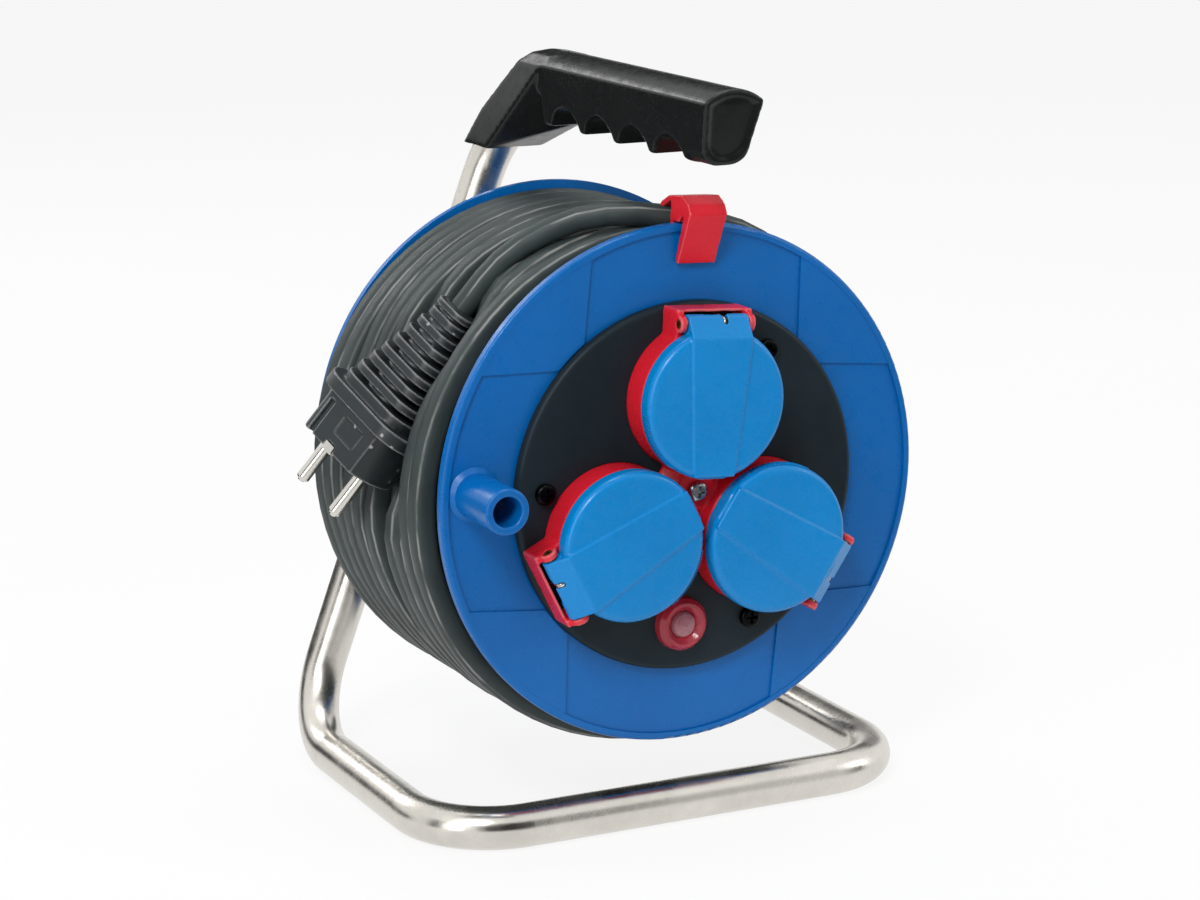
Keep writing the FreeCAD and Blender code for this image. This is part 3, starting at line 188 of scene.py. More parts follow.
def plug_axes():
    """The plug's own frame: its pins' line, its thickness and the way its pins point."""
    along = PLUG_AXIS
    across = (PLUG_PIN_LINE - along * PLUG_PIN_LINE.dot(along)).normalized()
    return across, along.cross(across), along


def plug_outward():
    """The plug's thickness axis, turned to point away from the drum."""
    out = plug_axes()[1]
    return out if out.x * PLUG_CENTRE.x + out.z * PLUG_CENTRE.z > 0.0 else -out


def ease(low, high, value):
    """0 below low, 1 above high, smooth between."""
    share = min(max((value - low) / (high - low), 0.0), 1.0)
    return share * share * (3.0 - 2.0 * share)


def linear(colour):
    """A screen colour as the renderer's linear one."""
    return tuple(c / 12.92 if c <= 0.04045 else ((c + 0.055) / 1.055) ** 2.4 for c in colour[:3])


def colour_of(name, colour):
    """A colour that the user can change, given as screen values up to 255."""
    return FloatVectorProperty(name=name, description=name + " as it looks on a screen", size=3,
                               min=0.0, max=1.0, default=tuple(c / 255.0 for c in colour),
                               subtype="COLOR_GAMMA")


class ReelColours(bpy.types.PropertyGroup):
    """Colours of the reel's finishes."""
    drum: colour_of("Drum", (0, 95, 168))
    lids: colour_of("Lids", (0, 124, 192))
    sockets: colour_of("Sockets and clip", (208, 30, 46))
    plate: colour_of("Face plate", (27, 38, 44))
    grip: colour_of("Grip", (22, 24, 24))
    cable: colour_of("Cable", (53, 61, 61))
    plug: colour_of("Plug", (33, 40, 42))
    tube: colour_of("Tube", (226, 222, 214))
    guard: colour_of("Button guard", (240, 72, 94))


class ReelSizes(bpy.types.PropertyGroup):
    """Sizes of what is modelled here and not in the solids."""
    cable_diameter: FloatProperty(name="Cable", description="Diameter of the cable", default=0.0084,
                                  min=0.005, max=0.012, unit="LENGTH")
    pin_round: FloatProperty(name="Grain of the pins", description="Voxel size of the plug's pins",
                             default=0.00024, min=0.0001, max=0.001, unit="LENGTH")
    pin_dome: FloatProperty(name="Dome of the pins", description="Length of a pin's rounded tip",
                            default=0.0021, min=0.0005, max=0.004, unit="LENGTH")
    cable_sides: IntProperty(name="Cable sides", description="Faces round the cable", default=16,
                             min=8, max=24)


# Finishes

def new_material(name):
    """A material with one shader, ready for its nodes."""
    material = bpy.data.materials.new(name)
    material.use_nodes = True
    tree = material.node_tree
    shader = tree.nodes["Principled BSDF"]
    return material, tree, shader


def link(tree, source, target):
    """Joins an output to an input."""
    tree.links.new(source, target)


def coordinates(tree, scale=(1.0, 1.0, 1.0), output="Object"):
    """Places on the object, stretched where a pattern runs one way."""
    source = tree.nodes.new("ShaderNodeTexCoord")
    mapping = tree.nodes.new("ShaderNodeMapping")
    mapping.inputs["Scale"].default_value = scale
    link(tree, source.outputs[output], mapping.inputs["Vector"])
    return mapping.outputs["Vector"]


def noise(tree, vector, scale, detail=3.0, roughness=0.5):
    """An even cloud pattern between 0 and 1."""
    node = tree.nodes.new("ShaderNodeTexNoise")
    node.inputs["Scale"].default_value = scale
    node.inputs["Detail"].default_value = detail
    node.inputs["Roughness"].default_value = roughness
    link(tree, vector, node.inputs["Vector"])
    return node.outputs["Fac"]


def remap(tree, value, low, high, from_low=0.3, from_high=0.7):
    """A pattern's value between two limits."""
    node = tree.nodes.new("ShaderNodeMapRange")
    for name, number in (("From Min", from_low), ("From Max", from_high), ("To Min", low),
                         ("To Max", high)):
        node.inputs[name].default_value = number
    link(tree, value, node.inputs["Value"])
    return node.outputs["Result"]


def mix_colours(tree, share, first, second):
    """One colour into another by a share; either may be a colour or an output."""
    node = tree.nodes.new("ShaderNodeMix")
    node.data_type = "RGBA"
    for socket, colour in ((node.inputs[6], first), (node.inputs[7], second)):
        if isinstance(colour, (tuple, list)):
            socket.default_value = (*colour[:3], 1.0)
        else:
            link(tree, colour, socket)
    link(tree, share, node.inputs[0])
    return node.outputs[2]


def math_node(tree, operation, first, second=None):
    """The sum, product or the like of numbers or outputs."""
    node = tree.nodes.new("ShaderNodeMath")
    node.operation = operation
    for socket, value in zip(node.inputs, (first, second)):
        if isinstance(value, (int, float)):
            socket.default_value = value
        elif value is not None:
            link(tree, value, socket)
    return node.outputs[0]


def bump(tree, shader, height, distance, under=None):
    """Raises the surface by a pattern, on top of what lies under it."""
    node = tree.nodes.new("ShaderNodeBump")
    node.inputs["Distance"].default_value = distance
    link(tree, height, node.inputs["Height"])
    if under is not None:
        link(tree, under, node.inputs["Normal"])
    link(tree, node.outputs["Normal"], shader.inputs["Normal"])
    return node.outputs["Normal"]


def shade(colour, factor):
    """A lighter or darker tone of a colour."""
    return tuple(min(c * factor, 1.0) for c in colour)


def moulded(name, colour, roughness, grain=1400.0, depth=0.00002, worn=0.0, level=0.5,
            patch=28.0, vary=0.12, edge_from=0.52):
    """Moulded plastic: fine grain, slow changes of tone and gloss, and paler edges that are partly
    wear and partly a painted highlight.
    """
    material, tree, shader = new_material(name)
    place = coordinates(tree)
    slow = noise(tree, place, patch, 4.0)
    tone = remap(tree, slow, 0.0, 1.0)
    base = mix_colours(tree, tone, shade(colour, 1.0 - vary), shade(colour, 1.0 + vary))
    # Paler edges where the surface is sharp: partly wear, partly a painted highlight.
    if worn:
        geometry = tree.nodes.new("ShaderNodeNewGeometry")
        edge = remap(tree, geometry.outputs["Pointiness"], 0.0, worn, edge_from, edge_from + 0.06)
        pale = tuple(c * 0.4 + 0.35 for c in colour)
        base = mix_colours(tree, edge, base, pale)
    link(tree, base, shader.inputs["Base Color"])
    scuffs = noise(tree, place, patch * 9.0, 5.0, 0.6)
    link(tree, remap(tree, scuffs, roughness - 0.06, roughness + 0.08), shader.inputs["Roughness"])
    shader.inputs["Specular IOR Level"].default_value = level
    fine = noise(tree, place, grain, 2.0)
    waves = noise(tree, place, 60.0, 1.0)
    under = bump(tree, shader, waves, 0.00012)
    bump(tree, shader, fine, depth, under)
    return material


def metal(name, colour, roughness, depth=0.000006, cloud=0.10):
    """Bare or plated metal with a fine grain and a cloudy tone."""
    material, tree, shader = new_material(name)
    place = coordinates(tree)
    cloudy = noise(tree, place, 45.0, 5.0, 0.6)
    tone = remap(tree, cloudy, 0.0, 1.0)
    base = mix_colours(tree, tone, shade(colour, 1.0 - cloud), shade(colour, 1.0 + cloud))
    link(tree, base, shader.inputs["Base Color"])
    shader.inputs["Metallic"].default_value = 1.0
    grain = noise(tree, place, 900.0, 3.0, 0.6)
    link(tree, remap(tree, grain, roughness - 0.05, roughness + 0.09), shader.inputs["Roughness"])
    bump(tree, shader, grain, depth)
    return material


def zinc_finish(colour):
    """Bright zinc on drawn tube: soft cloudy gloss, faint mottling and shallow waves."""
    material, tree, shader = new_material("zinc_tube")
    place = coordinates(tree)
    cloud = noise(tree, place, 55.0, 6.0, 0.65)
    spots = noise(tree, place, 420.0, 3.0, 0.6)
    tone = remap(tree, cloud, 0.0, 1.0, 0.3, 0.72)
    base = mix_colours(tree, tone, shade(colour, 0.80), colour)
    warm = mix_colours(tree, remap(tree, spots, 0.0, 0.2), base, (0.60, 0.56, 0.50))
    link(tree, warm, shader.inputs["Base Color"])
    shader.inputs["Metallic"].default_value = 1.0
    link(tree, remap(tree, cloud, 0.19, 0.34), shader.inputs["Roughness"])
    mottle = bump(tree, shader, spots, 0.000018)
    waves = noise(tree, place, 90.0, 2.0)
    bump(tree, shader, waves, 0.00005, mottle)
    return material


def cable_finish(colour):
    """Rubber sheath: dull, dusty along its crown, with thin pale lines on its shoulders near where
    turns touch.
    """
    material, tree, shader = new_material("cable_rubber")
    place = coordinates(tree, output="UV")
    split = tree.nodes.new("ShaderNodeSeparateXYZ")
    link(tree, place, split.inputs[0])
    around = split.outputs[0]
    drift = noise(tree, coordinates(tree, (1.0, 3.0, 1.0), "UV"), 4.0, 3.0)
    shifted = math_node(tree, "ADD", around, remap(tree, drift, -0.012, 0.012))
    lines = []
    for middle, strength, start, end in PALE_LINES:
        off = math_node(tree, "ABSOLUTE", math_node(tree, "SUBTRACT", shifted, middle))
        lines.append(remap(tree, off, strength, 0.0, start, end))
    line = math_node(tree, "MAXIMUM", *lines)
    breaks = noise(tree, coordinates(tree, (1.0, 9.0, 1.0), "UV"), 6.0, 4.0)
    line = math_node(tree, "MULTIPLY", line, remap(tree, breaks, 0.15, 0.85, 0.42, 0.58))
    dust = noise(tree, coordinates(tree), 38.0, 5.0, 0.6)
    base = mix_colours(tree, remap(tree, dust, 0.0, 1.0), shade(colour, 0.78), shade(colour, 1.2))
    base = mix_colours(tree, line, base, PALE_LINE_TINT)
    link(tree, base, shader.inputs["Base Color"])
    link(tree, remap(tree, dust, 0.42, 0.58), shader.inputs["Roughness"])
    shader.inputs["Specular IOR Level"].default_value = 0.30
    grain = noise(tree, coordinates(tree), 1800.0, 2.0)
    waves = noise(tree, coordinates(tree, (2.0, 26.0, 1.0), "UV"), 2.2, 2.0)
    under = bump(tree, shader, waves, 0.0004)
    bump(tree, shader, grain, 0.00003, under)
    return material


def clear_finish(colour):
    """The button's guard: tinted clear plastic, a little cloudy."""
    material, tree, shader = new_material("clear_red")
    place = coordinates(tree)
    cloud = noise(tree, place, 160.0, 3.0)
    base = mix_colours(tree, remap(tree, cloud, 0.0, 1.0), shade(colour, 0.85), shade(colour, 1.15))
    link(tree, base, shader.inputs["Base Color"])
    shader.inputs["Transmission Weight"].default_value = 0.62
    shader.inputs["IOR"].default_value = 1.46
    link(tree, remap(tree, cloud, 0.12, 0.24), shader.inputs["Roughness"])
    bump(tree, shader, cloud, 0.00003)
    return material


def make_finishes(colours):
    """Every finish of the reel by the name of its material slot."""
    drum = linear(colours.drum)
    lids = linear(colours.lids)
    red = linear(colours.sockets)
    plate = linear(colours.plate)
    grip = linear(colours.grip)
    plug = linear(colours.plug)
    steel = linear((0.72, 0.72, 0.71))
    blue = {"grain": 1300.0, "depth": 0.000004}
    bright_red = {"grain": 1300.0, "depth": 0.000005, "level": 0.2, "patch": 26.0, "vary": 0.08}
    finishes = (
        zinc_finish(linear(colours.tube)),
        # Paler edges on the grip: partly wear, partly a painted highlight.
        moulded("grip_plastic", grip, 0.24, grain=1500.0, depth=0.000004, worn=0.05, level=0.22),
        metal("steel_parts", steel, 0.26),
        metal("black_screw", linear((0.09, 0.09, 0.095)), 0.30),
        moulded("nylon", linear((0.86, 0.85, 0.80)), 0.45, grain=900.0),
        moulded("blue_plastic", drum, 0.29, level=0.30, patch=16.0, vary=0.07, **blue),
        moulded("lid_blue", lids, 0.27, level=0.34, patch=26.0, vary=0.06, **blue),
        moulded("black_plate", plate, 0.38, grain=1500.0, depth=0.00003, level=0.14, patch=22.0,
                vary=0.2),
        moulded("soft_rubber", linear((0.07, 0.07, 0.07)), 0.62, grain=800.0),
        moulded("red_plastic", red, 0.30, **bright_red),
        # Paler edges on the sockets and the clip: partly wear, partly a painted highlight.
        moulded("red_wear_and_sheen", red, 0.28, worn=0.5, **bright_red),
        metal("brass_contacts", linear((0.80, 0.66, 0.36)), 0.28),
        metal("spring_bronze", linear((0.76, 0.60, 0.42)), 0.28),
        moulded("cutout_case", linear((0.10, 0.10, 0.11)), 0.45),
        clear_finish(linear(colours.guard)),
        moulded("grey_button", linear((0.62, 0.40, 0.43)), 0.24, grain=1200.0),
        cable_finish(linear(colours.cable)),
        # Paler edges on the plug's ribs and collar: partly wear, partly a painted highlight.
        moulded("plug_rubber", plug, 0.36, grain=1700.0, worn=0.8, level=0.42, patch=30.0,
                vary=0.22, edge_from=0.511),
        moulded("plug_insert", linear((0.11, 0.115, 0.12)), 0.35),
        metal("nickel_pins", linear((0.84, 0.83, 0.80)), 0.17, depth=0.0, cloud=0.04),
        metal("earth_steel", linear((0.82, 0.81, 0.79)), 0.24),
    )
    return {material.name.split(".")[0]: material for material in finishes}


FINISHES = {}


def finish_of(slot):
    """The finish that belongs to a material slot."""
    if slot not in FINISHES:
        raise RuntimeError("no finish is made for the slot " + slot)
    return FINISHES[slot]


# Modelling

def clear():
    """Leaves edit mode and deselects everything."""
    if bpy.context.mode != "OBJECT":
        bpy.ops.object.mode_set(mode="OBJECT")
    bpy.ops.object.select_all(action="DESELECT")


def focus(obj):
    """Makes obj the one selected and active object."""
    clear()
    obj.select_set(True)
    bpy.context.view_layer.objects.active = obj


def edit(obj):
    """Opens one object's mesh for editing."""
    focus(obj)
    bpy.ops.object.mode_set(mode="EDIT")


def leave():
    """Ends editing."""
    bpy.ops.object.mode_set(mode="OBJECT")


def modify(obj, kind, **settings):
    """Adds a modifier and applies it."""
    focus(obj)
    modifier = obj.modifiers.new(kind.title(), kind)
    for name, value in settings.items():
        setattr(modifier, name, value)
    bpy.ops.object.modifier_apply(modifier=modifier.name)


def settle(obj):
    """Puts the object's place into its mesh."""
    focus(obj)
    bpy.ops.object.transform_apply(location=True, rotation=True, scale=True)


def smooth(obj, degrees):
    """Shades a piece smooth, with creases past an angle."""
    focus(obj)
    bpy.ops.object.shade_smooth_by_angle(angle=math.radians(degrees))


def copy_of(node, name):
    """A copy of a node's solid with its corners joined and its flat faces whole."""
    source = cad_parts[node]
    piece = bpy.data.objects.new(name, source.data.copy())
    bpy.context.scene.collection.objects.link(piece)
    edit(piece)
    bpy.ops.mesh.select_all(action="SELECT")
    bpy.ops.mesh.remove_doubles(threshold=0.000002)
    bpy.ops.mesh.normals_make_consistent(inside=False)
    leave()
    bpy.ops.mesh.customdata_custom_splitnormals_clear()
    return piece


def dress(piece, slot, body, *nodes, finish=None):
    """Gives a piece its finish and its body, and hides the solids it stands for."""
    piece.data.materials.clear()
    piece.data.materials.append(finish_of(finish or slot))
    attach(piece, body)
    if nodes:
        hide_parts(*nodes)


def join(piece, other):
    """Makes another piece part of this one."""
    focus(piece)
    other.select_set(True)
    bpy.ops.object.join()


def soften(piece, voxel, rounds):
    """Remeshes a solid finely and relaxes it, which rounds its moulded edges."""
    modify(piece, "REMESH", mode="VOXEL", voxel_size=voxel, use_smooth_shade=True)
    modify(piece, "SMOOTH", factor=RELAX, iterations=rounds)
    settle_spikes(piece)


def settle_spikes(piece):
    """Brings single points that stand out of a surface back among their neighbours."""
    points = piece.data.vertices
    near = [[] for _ in points]
    for edge in piece.data.edges:
        first, second = edge.vertices
        near[first].append(second)
        near[second].append(first)
    middles = [sum((points[k].co for k in ring), Vector()) / max(len(ring), 1) for ring in near]
    lifts = [abs((middle - point.co).dot(point.normal)) for middle, point in zip(middles, points)]
    for index, ring in enumerate(near):
        around = sorted(lifts[k] for k in ring)
        if around and lifts[index] > max(LEAST_SPIKE, SPIKE_ABOVE * around[len(around) // 2]):
            points[index].co = middles[index]


# The stage

def aim(obj, place, target):
    """Puts a lamp or card at a place and turns it to face the target."""
    obj.location = place
    way = Vector(target) - Vector(place)
    obj.rotation_euler = way.to_track_quat("-Z", "Y").to_euler()


def add_lamp(name, place, size, power, target=STAGE_TARGET):
    """A soft white lamp."""
    data = bpy.data.lights.new(name, "AREA")
    data.shape = "RECTANGLE"
    data.size = size[0]
    data.size_y = size[1]
    data.energy = power
    lamp = bpy.data.objects.new(name, data)
    bpy.context.scene.collection.objects.link(lamp)
    aim(lamp, place, target)


def add_card(name, place, size, target=STAGE_TARGET):
    """A dark card that only glossy reflections see."""
    clear()
    bpy.ops.mesh.primitive_plane_add(size=1.0)
    card = bpy.context.object
    card.name = name
    card.scale = (size[0], size[1], 1.0)
    aim(card, place, target)
    material, _, shader = new_material(name)
    shader.inputs["Base Color"].default_value = (0.012, 0.012, 0.014, 1.0)
    shader.inputs["Roughness"].default_value = 0.9
    card.data.materials.append(material)
    card.visible_camera = False
    card.visible_diffuse = False
    card.visible_shadow = False
    card.visible_transmission = False


def seen_directly(tree):
    """1 for rays from the camera, from gloss and through clear pieces, otherwise 0."""
    path = tree.nodes.new("ShaderNodeLightPath")
    first = math_node(tree, "MAXIMUM", path.outputs["Is Camera Ray"], path.outputs["Is Glossy Ray"])
    return math_node(tree, "MAXIMUM", first, path.outputs["Is Transmission Ray"])


class REEL_OT_stage(bpy.types.Operator):
    """Add the floor, the lamps, the cards and the camera"""
    bl_idname = "reel.stage"
    bl_label = "Stage"

    def execute(self, context):
        scene = context.scene
        clear()
        bpy.ops.mesh.primitive_plane_add(size=14.0)
        floor = context.object
        floor.name = "floor"
        material, tree, shader = new_material("floor")
        place = coordinates(tree)
        mottle = remap(tree, noise(tree, place, 3.0, 2.0), 0.0, 1.0)
        tint = mix_colours(tree, mottle, (0.80, 0.80, 0.80), (0.84, 0.84, 0.84))
        link(tree, tint, shader.inputs["Base Color"])
        shader.inputs["Roughness"].default_value = 0.8
        glow = tree.nodes.new("ShaderNodeEmission")
        blend = tree.nodes.new("ShaderNodeMixShader")
        share = math_node(tree, "MULTIPLY", seen_directly(tree), 0.86)
        link(tree, share, blend.inputs[0])
        link(tree, shader.outputs[0], blend.inputs[1])
        link(tree, glow.outputs[0], blend.inputs[2])
        link(tree, blend.outputs[0], tree.nodes["Material Output"].inputs["Surface"])
        floor.data.materials.append(material)

        world = bpy.data.worlds.new("studio")
        scene.world = world
        world.use_nodes = True
        tree = world.node_tree
        back = tree.nodes["Background"]
        strength = remap(tree, seen_directly(tree), 0.42, 1.0, 0.0, 1.0)
        link(tree, strength, back.inputs["Strength"])
        back.inputs["Color"].default_value = (1.0, 1.0, 1.0, 1.0)

        add_lamp("key", (-1.25, -1.35, 1.75), (0.6, 0.6), 27.0)
        add_lamp("strip", (-1.55, -0.88, 0.62), (0.3, 1.1), 7.0)
        add_lamp("top", (0.15, 0.1, 1.9), (1.0, 0.7), 11.0)
        add_lamp("fill", (1.7, -0.9, 0.9), (0.5, 1.0), 6.0)
        add_lamp("rim", (-0.35, 1.35, 0.87), (0.9, 0.25), 4.0, GRIP_TARGET)
        add_card("card_camera", (-0.2, -2.1, 0.75), (2.6, 1.5))
        add_card("card_left", (-1.7, -0.25, 0.45), (0.45, 1.2))
        add_card("card_right", (1.6, -1.2, 0.35), (0.9, 0.9))
        add_card("card_high", (-0.2, -0.35, 1.5), (0.9, 0.35))
        add_card("card_behind", (0.42, 0.87, 0.52), (1.5, 0.42), (0.0, -0.02, 0.24))
        add_card("card_back", (-0.85, 0.95, 0.10), (1.3, 0.42))
        add_card("card_floor_back", (-0.55, 0.85, 0.012), (1.3, 1.1), (-0.55, 0.85, 1.0))
        add_card("card_floor", (0.35, -0.72, 0.012), (1.5, 0.85), (0.35, -0.72, 1.0))

        data = bpy.data.cameras.new("camera")
        data.lens = CAMERA_LENS
        data.sensor_width = 36.0
        data.clip_end = 50.0
        camera = bpy.data.objects.new("camera", data)
        scene.collection.objects.link(camera)
        across = Vector(CAMERA_ACROSS).normalized()
        back_way = Vector(CAMERA_BACK).normalized()
        up = back_way.cross(across).normalized()
        turn = Matrix((across, up, back_way)).transposed().to_4x4()
        camera.matrix_world = Matrix.Translation(CAMERA_PLACE) @ turn
        scene.camera = camera
        scene.view_settings.view_transform = "Standard"
        return {"FINISHED"}


# The cable

def winding_centre(depth):
    """The middle of a layer. The outer turns sag to one side and down: depth is 0 at the core
    and 1 outside."""
    return Vector((WINDING_SAG[0] * depth, 0.0, WINDING_SAG[1] * depth))


def winding_rows():
    """Each turn's place along the axis and its layer, in the order it is wound."""
    # The turns of the outermost layer leave a gap for the plug.
    out = [FIRST_TURN + TURN_PITCH * i for i in range(11)]
    back = [LAST_TURN - TURN_PITCH * i for i in range(12)]
    rows = [INLET_TURN]
    for layer, places in enumerate((out, back, out, PLUG_LAYER)):
        rows += [(y, float(layer)) for y in places]
    return rows


def wobble(turn, seed):
    """A slow, fixed irregularity between -1 and 1."""
    return (math.sin(turn * 2.3 + seed * 1.7) + math.sin(turn * 3.9 + seed * 4.1 + 1.3)) * 0.5


def pressed(point):
    """A place in the coil, moved inwards where the plug lies in its bed."""
    across, _, along = plug_axes()
    out = plug_outward()
    away = point - PLUG_CENTRE
    u = away.dot(across)
    v = away.dot(out)
    w = away.dot(along)
    if w > COLLAR_HALF:
        half, deep = PLUG_BED
    elif w > -COLLAR_HALF:
        half, deep = COLLAR_BED
    else:
        share = min((-COLLAR_HALF - w) / (RELIEF_LENGTH - COLLAR_HALF), 1.0)
        half, deep = (wide - less * share for wide, less in zip(RELIEF_BED, RELIEF_TAPER))
    # The bed fades out past its sides and at both ends of the plug.
    inside = ease(half + BED_SIDES[1], half + BED_SIDES[0], abs(u))
    tail = ease(-RELIEF_LENGTH - BED_TAIL[0], -RELIEF_LENGTH + BED_TAIL[1], w)
    ends = tail * (1.0 - ease(*BED_HEAD, w))
    drop = max(v + deep + BED_GAP, 0.0)
    return point - out * drop * inside * ends


def cable_points():
    """Control points of the whole cable, from the drum's inlet to the plug."""
    rows = winding_rows()
    points = []
    angle = INLET_ANGLE - DRUM_TURN
    first = angle
    end = LAST_CROSSING + 360.0 * (len(rows) - 2) + TAIL_SPAN
    while angle <= end:
        count = (angle - CROSSING_ANGLE) / 360.0
        index = min(max(math.floor(count) + 1, 0), len(rows) - 1)
        since = angle - CROSSING_ANGLE - 360.0 * (index - 1)
        share = ease(0.0, CROSSING_SPAN, since) if index > 0 else 1.0
        y1, layer1 = rows[index]
        y0, layer0 = rows[max(index - 1, 0)]
        y = y0 + (y1 - y0) * share
        layer = layer0 + (layer1 - layer0) * share
        if angle - first < INLET_SPAN:
            layer = INLET_LAYER + (layer - INLET_LAYER) * ease(0.0, INLET_SPAN, angle - first)
        step, reach = FINE_POINTS if layer >= FINE_LAYER else COARSE_POINTS
        depth = min(max(layer / 3.0, 0.0), 1.0)
        radius = (CORE_RADIUS + LAYER_RISE * layer
                  + UNEVEN * wobble(math.radians(angle) * 0.9, index))
        y += UNEVEN * wobble(math.radians(angle) * 0.7, index + 5.0)
        turn = math.radians(angle)
        place = winding_centre(depth) + Vector((math.cos(turn), 0.0, math.sin(turn))) * radius
        place.y = y
        place = pressed(place)
        centre = winding_centre(depth)
        flat = Vector((place.x - centre.x, 0.0, place.z - centre.z)) / reach
        points.append(Vector((centre.x + flat.x, place.y, centre.z + flat.z)))
        angle += step
    _, _, along = plug_axes()
    points += [Vector(p) for p in TAIL]
    points.append(PLUG_CENTRE - along * (RELIEF_LENGTH + 1.0))
    points.append(PLUG_CENTRE - along * (RELIEF_LENGTH - 5.5))
    return points


def follow(points, resolution):
    """The smooth line of an open spline through its control points, as a list of places."""
    curve = bpy.data.curves.new("cable_line", "CURVE")
    curve.dimensions = "3D"
    spline = curve.splines.new("NURBS")
    spline.points.add(len(points) - 1)
    for knot, place in zip(spline.points, points):
        knot.co = (*at(*place), 1.0)
    spline.order_u = 3
    spline.use_endpoint_u = True
    spline.resolution_u = resolution
    holder = bpy.data.objects.new("cable_line", curve)
    bpy.context.scene.collection.objects.link(holder)
    bpy.context.view_layer.update()
    line = bpy.data.meshes.new_from_object(holder)
    places = [v.co.copy() for v in line.vertices]
    bpy.data.objects.remove(holder)
    bpy.data.curves.remove(curve)
    bpy.data.meshes.remove(line)
    return places


def tube_along(name, places, diameter, sides, squareness):
    """A closed tube along a line. Its section is held towards the drum's axis and is rounder or
    squarer as squareness says at each place."""
    line = np.array([tuple(p) for p in places])
    way = np.gradient(line, axis=0)
    way /= np.linalg.norm(way, axis=1)[:, None]
    axis = np.array(at(0.0, 0.0, 0.0))
    out = line - axis
    out[:, 1] = 0.0
    out -= (out * way).sum(1)[:, None] * way
    out /= np.linalg.norm(out, axis=1)[:, None]
    side = np.cross(way, out)
    run = np.concatenate(([0.0], np.cumsum(np.linalg.norm(np.diff(line, axis=0), axis=1))))
    turn = np.arange(sides) / sides * 2.0 * math.pi
    power = np.array([squareness(s) for s in run])[:, None]
    cosines, sines = np.cos(turn)[None], np.sin(turn)[None]
    reach = (np.abs(cosines) ** power + np.abs(sines) ** power) ** (-1.0 / power)
    reach *= diameter / 2.0
    ring = (line[:, None] + out[:, None] * (reach * cosines)[:, :, None]
            + side[:, None] * (reach * sines)[:, :, None])
    rows = len(line)
    verts = ring.reshape(-1, 3).tolist() + [line[0].tolist(), line[-1].tolist()]
    faces = []
    wraps = []
    for i in range(rows - 1):
        for j in range(sides):
            k = (j + 1) % sides
            faces.append((i * sides + j, i * sides + k, (i + 1) * sides + k, (i + 1) * sides + j))
            u0, u1 = j / sides, (j + 1) / sides
            wraps += [(u0, run[i]), (u1, run[i]), (u1, run[i + 1]), (u0, run[i + 1])]
    for centre, row, flip in ((rows * sides, 0, True), (rows * sides + 1, rows - 1, False)):
        for j in range(sides):
            k = (j + 1) % sides
            a, b = row * sides + j, row * sides + k
            faces.append((centre, b, a) if flip else (centre, a, b))
            wraps += [(0.5, run[row])] * 3
    mesh = bpy.data.meshes.new(name)
    mesh.from_pydata(verts, [], faces)
    uv = mesh.uv_layers.new(name="UVMap")
    uv.data.foreach_set("uv", np.array(wraps, dtype=np.float32).ravel())
    piece = bpy.data.objects.new(name, mesh)
    bpy.context.scene.collection.objects.link(piece)
    edit(piece)
    bpy.ops.mesh.select_all(action="SELECT")
    bpy.ops.mesh.normals_make_consistent(inside=False)
    leave()
    bpy.ops.object.shade_smooth()
    return piece, float(run[-1])


class REEL_OT_cable(bpy.types.Operator):
    """Wind the cable on the drum, up to its plug"""
    bl_idname = "reel.cable"
    bl_label = "Cable"

    def execute(self, context):
        sizes = context.scene.reel_sizes
        places = follow(cable_points(), 3)
        total = sum((b - a).length for a, b in zip(places, places[1:]))

        def squareness(run):
            """Wound turns press each other squarer than the free end is."""
            free = ease(total - FREE_END[0], total - FREE_END[1], run)
            return WOUND_SQUARE + (FREE_SQUARE - WOUND_SQUARE) * free

        piece, length = tube_along("cable", places, sizes.cable_diameter, sizes.cable_sides,
                                   squareness)
        dress(piece, "cable_rubber", "drum", "cable_winding", "cable_tail")
        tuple(places[0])
        REEL_OT_plug.pieces()
        return {"FINISHED"}


# The plug

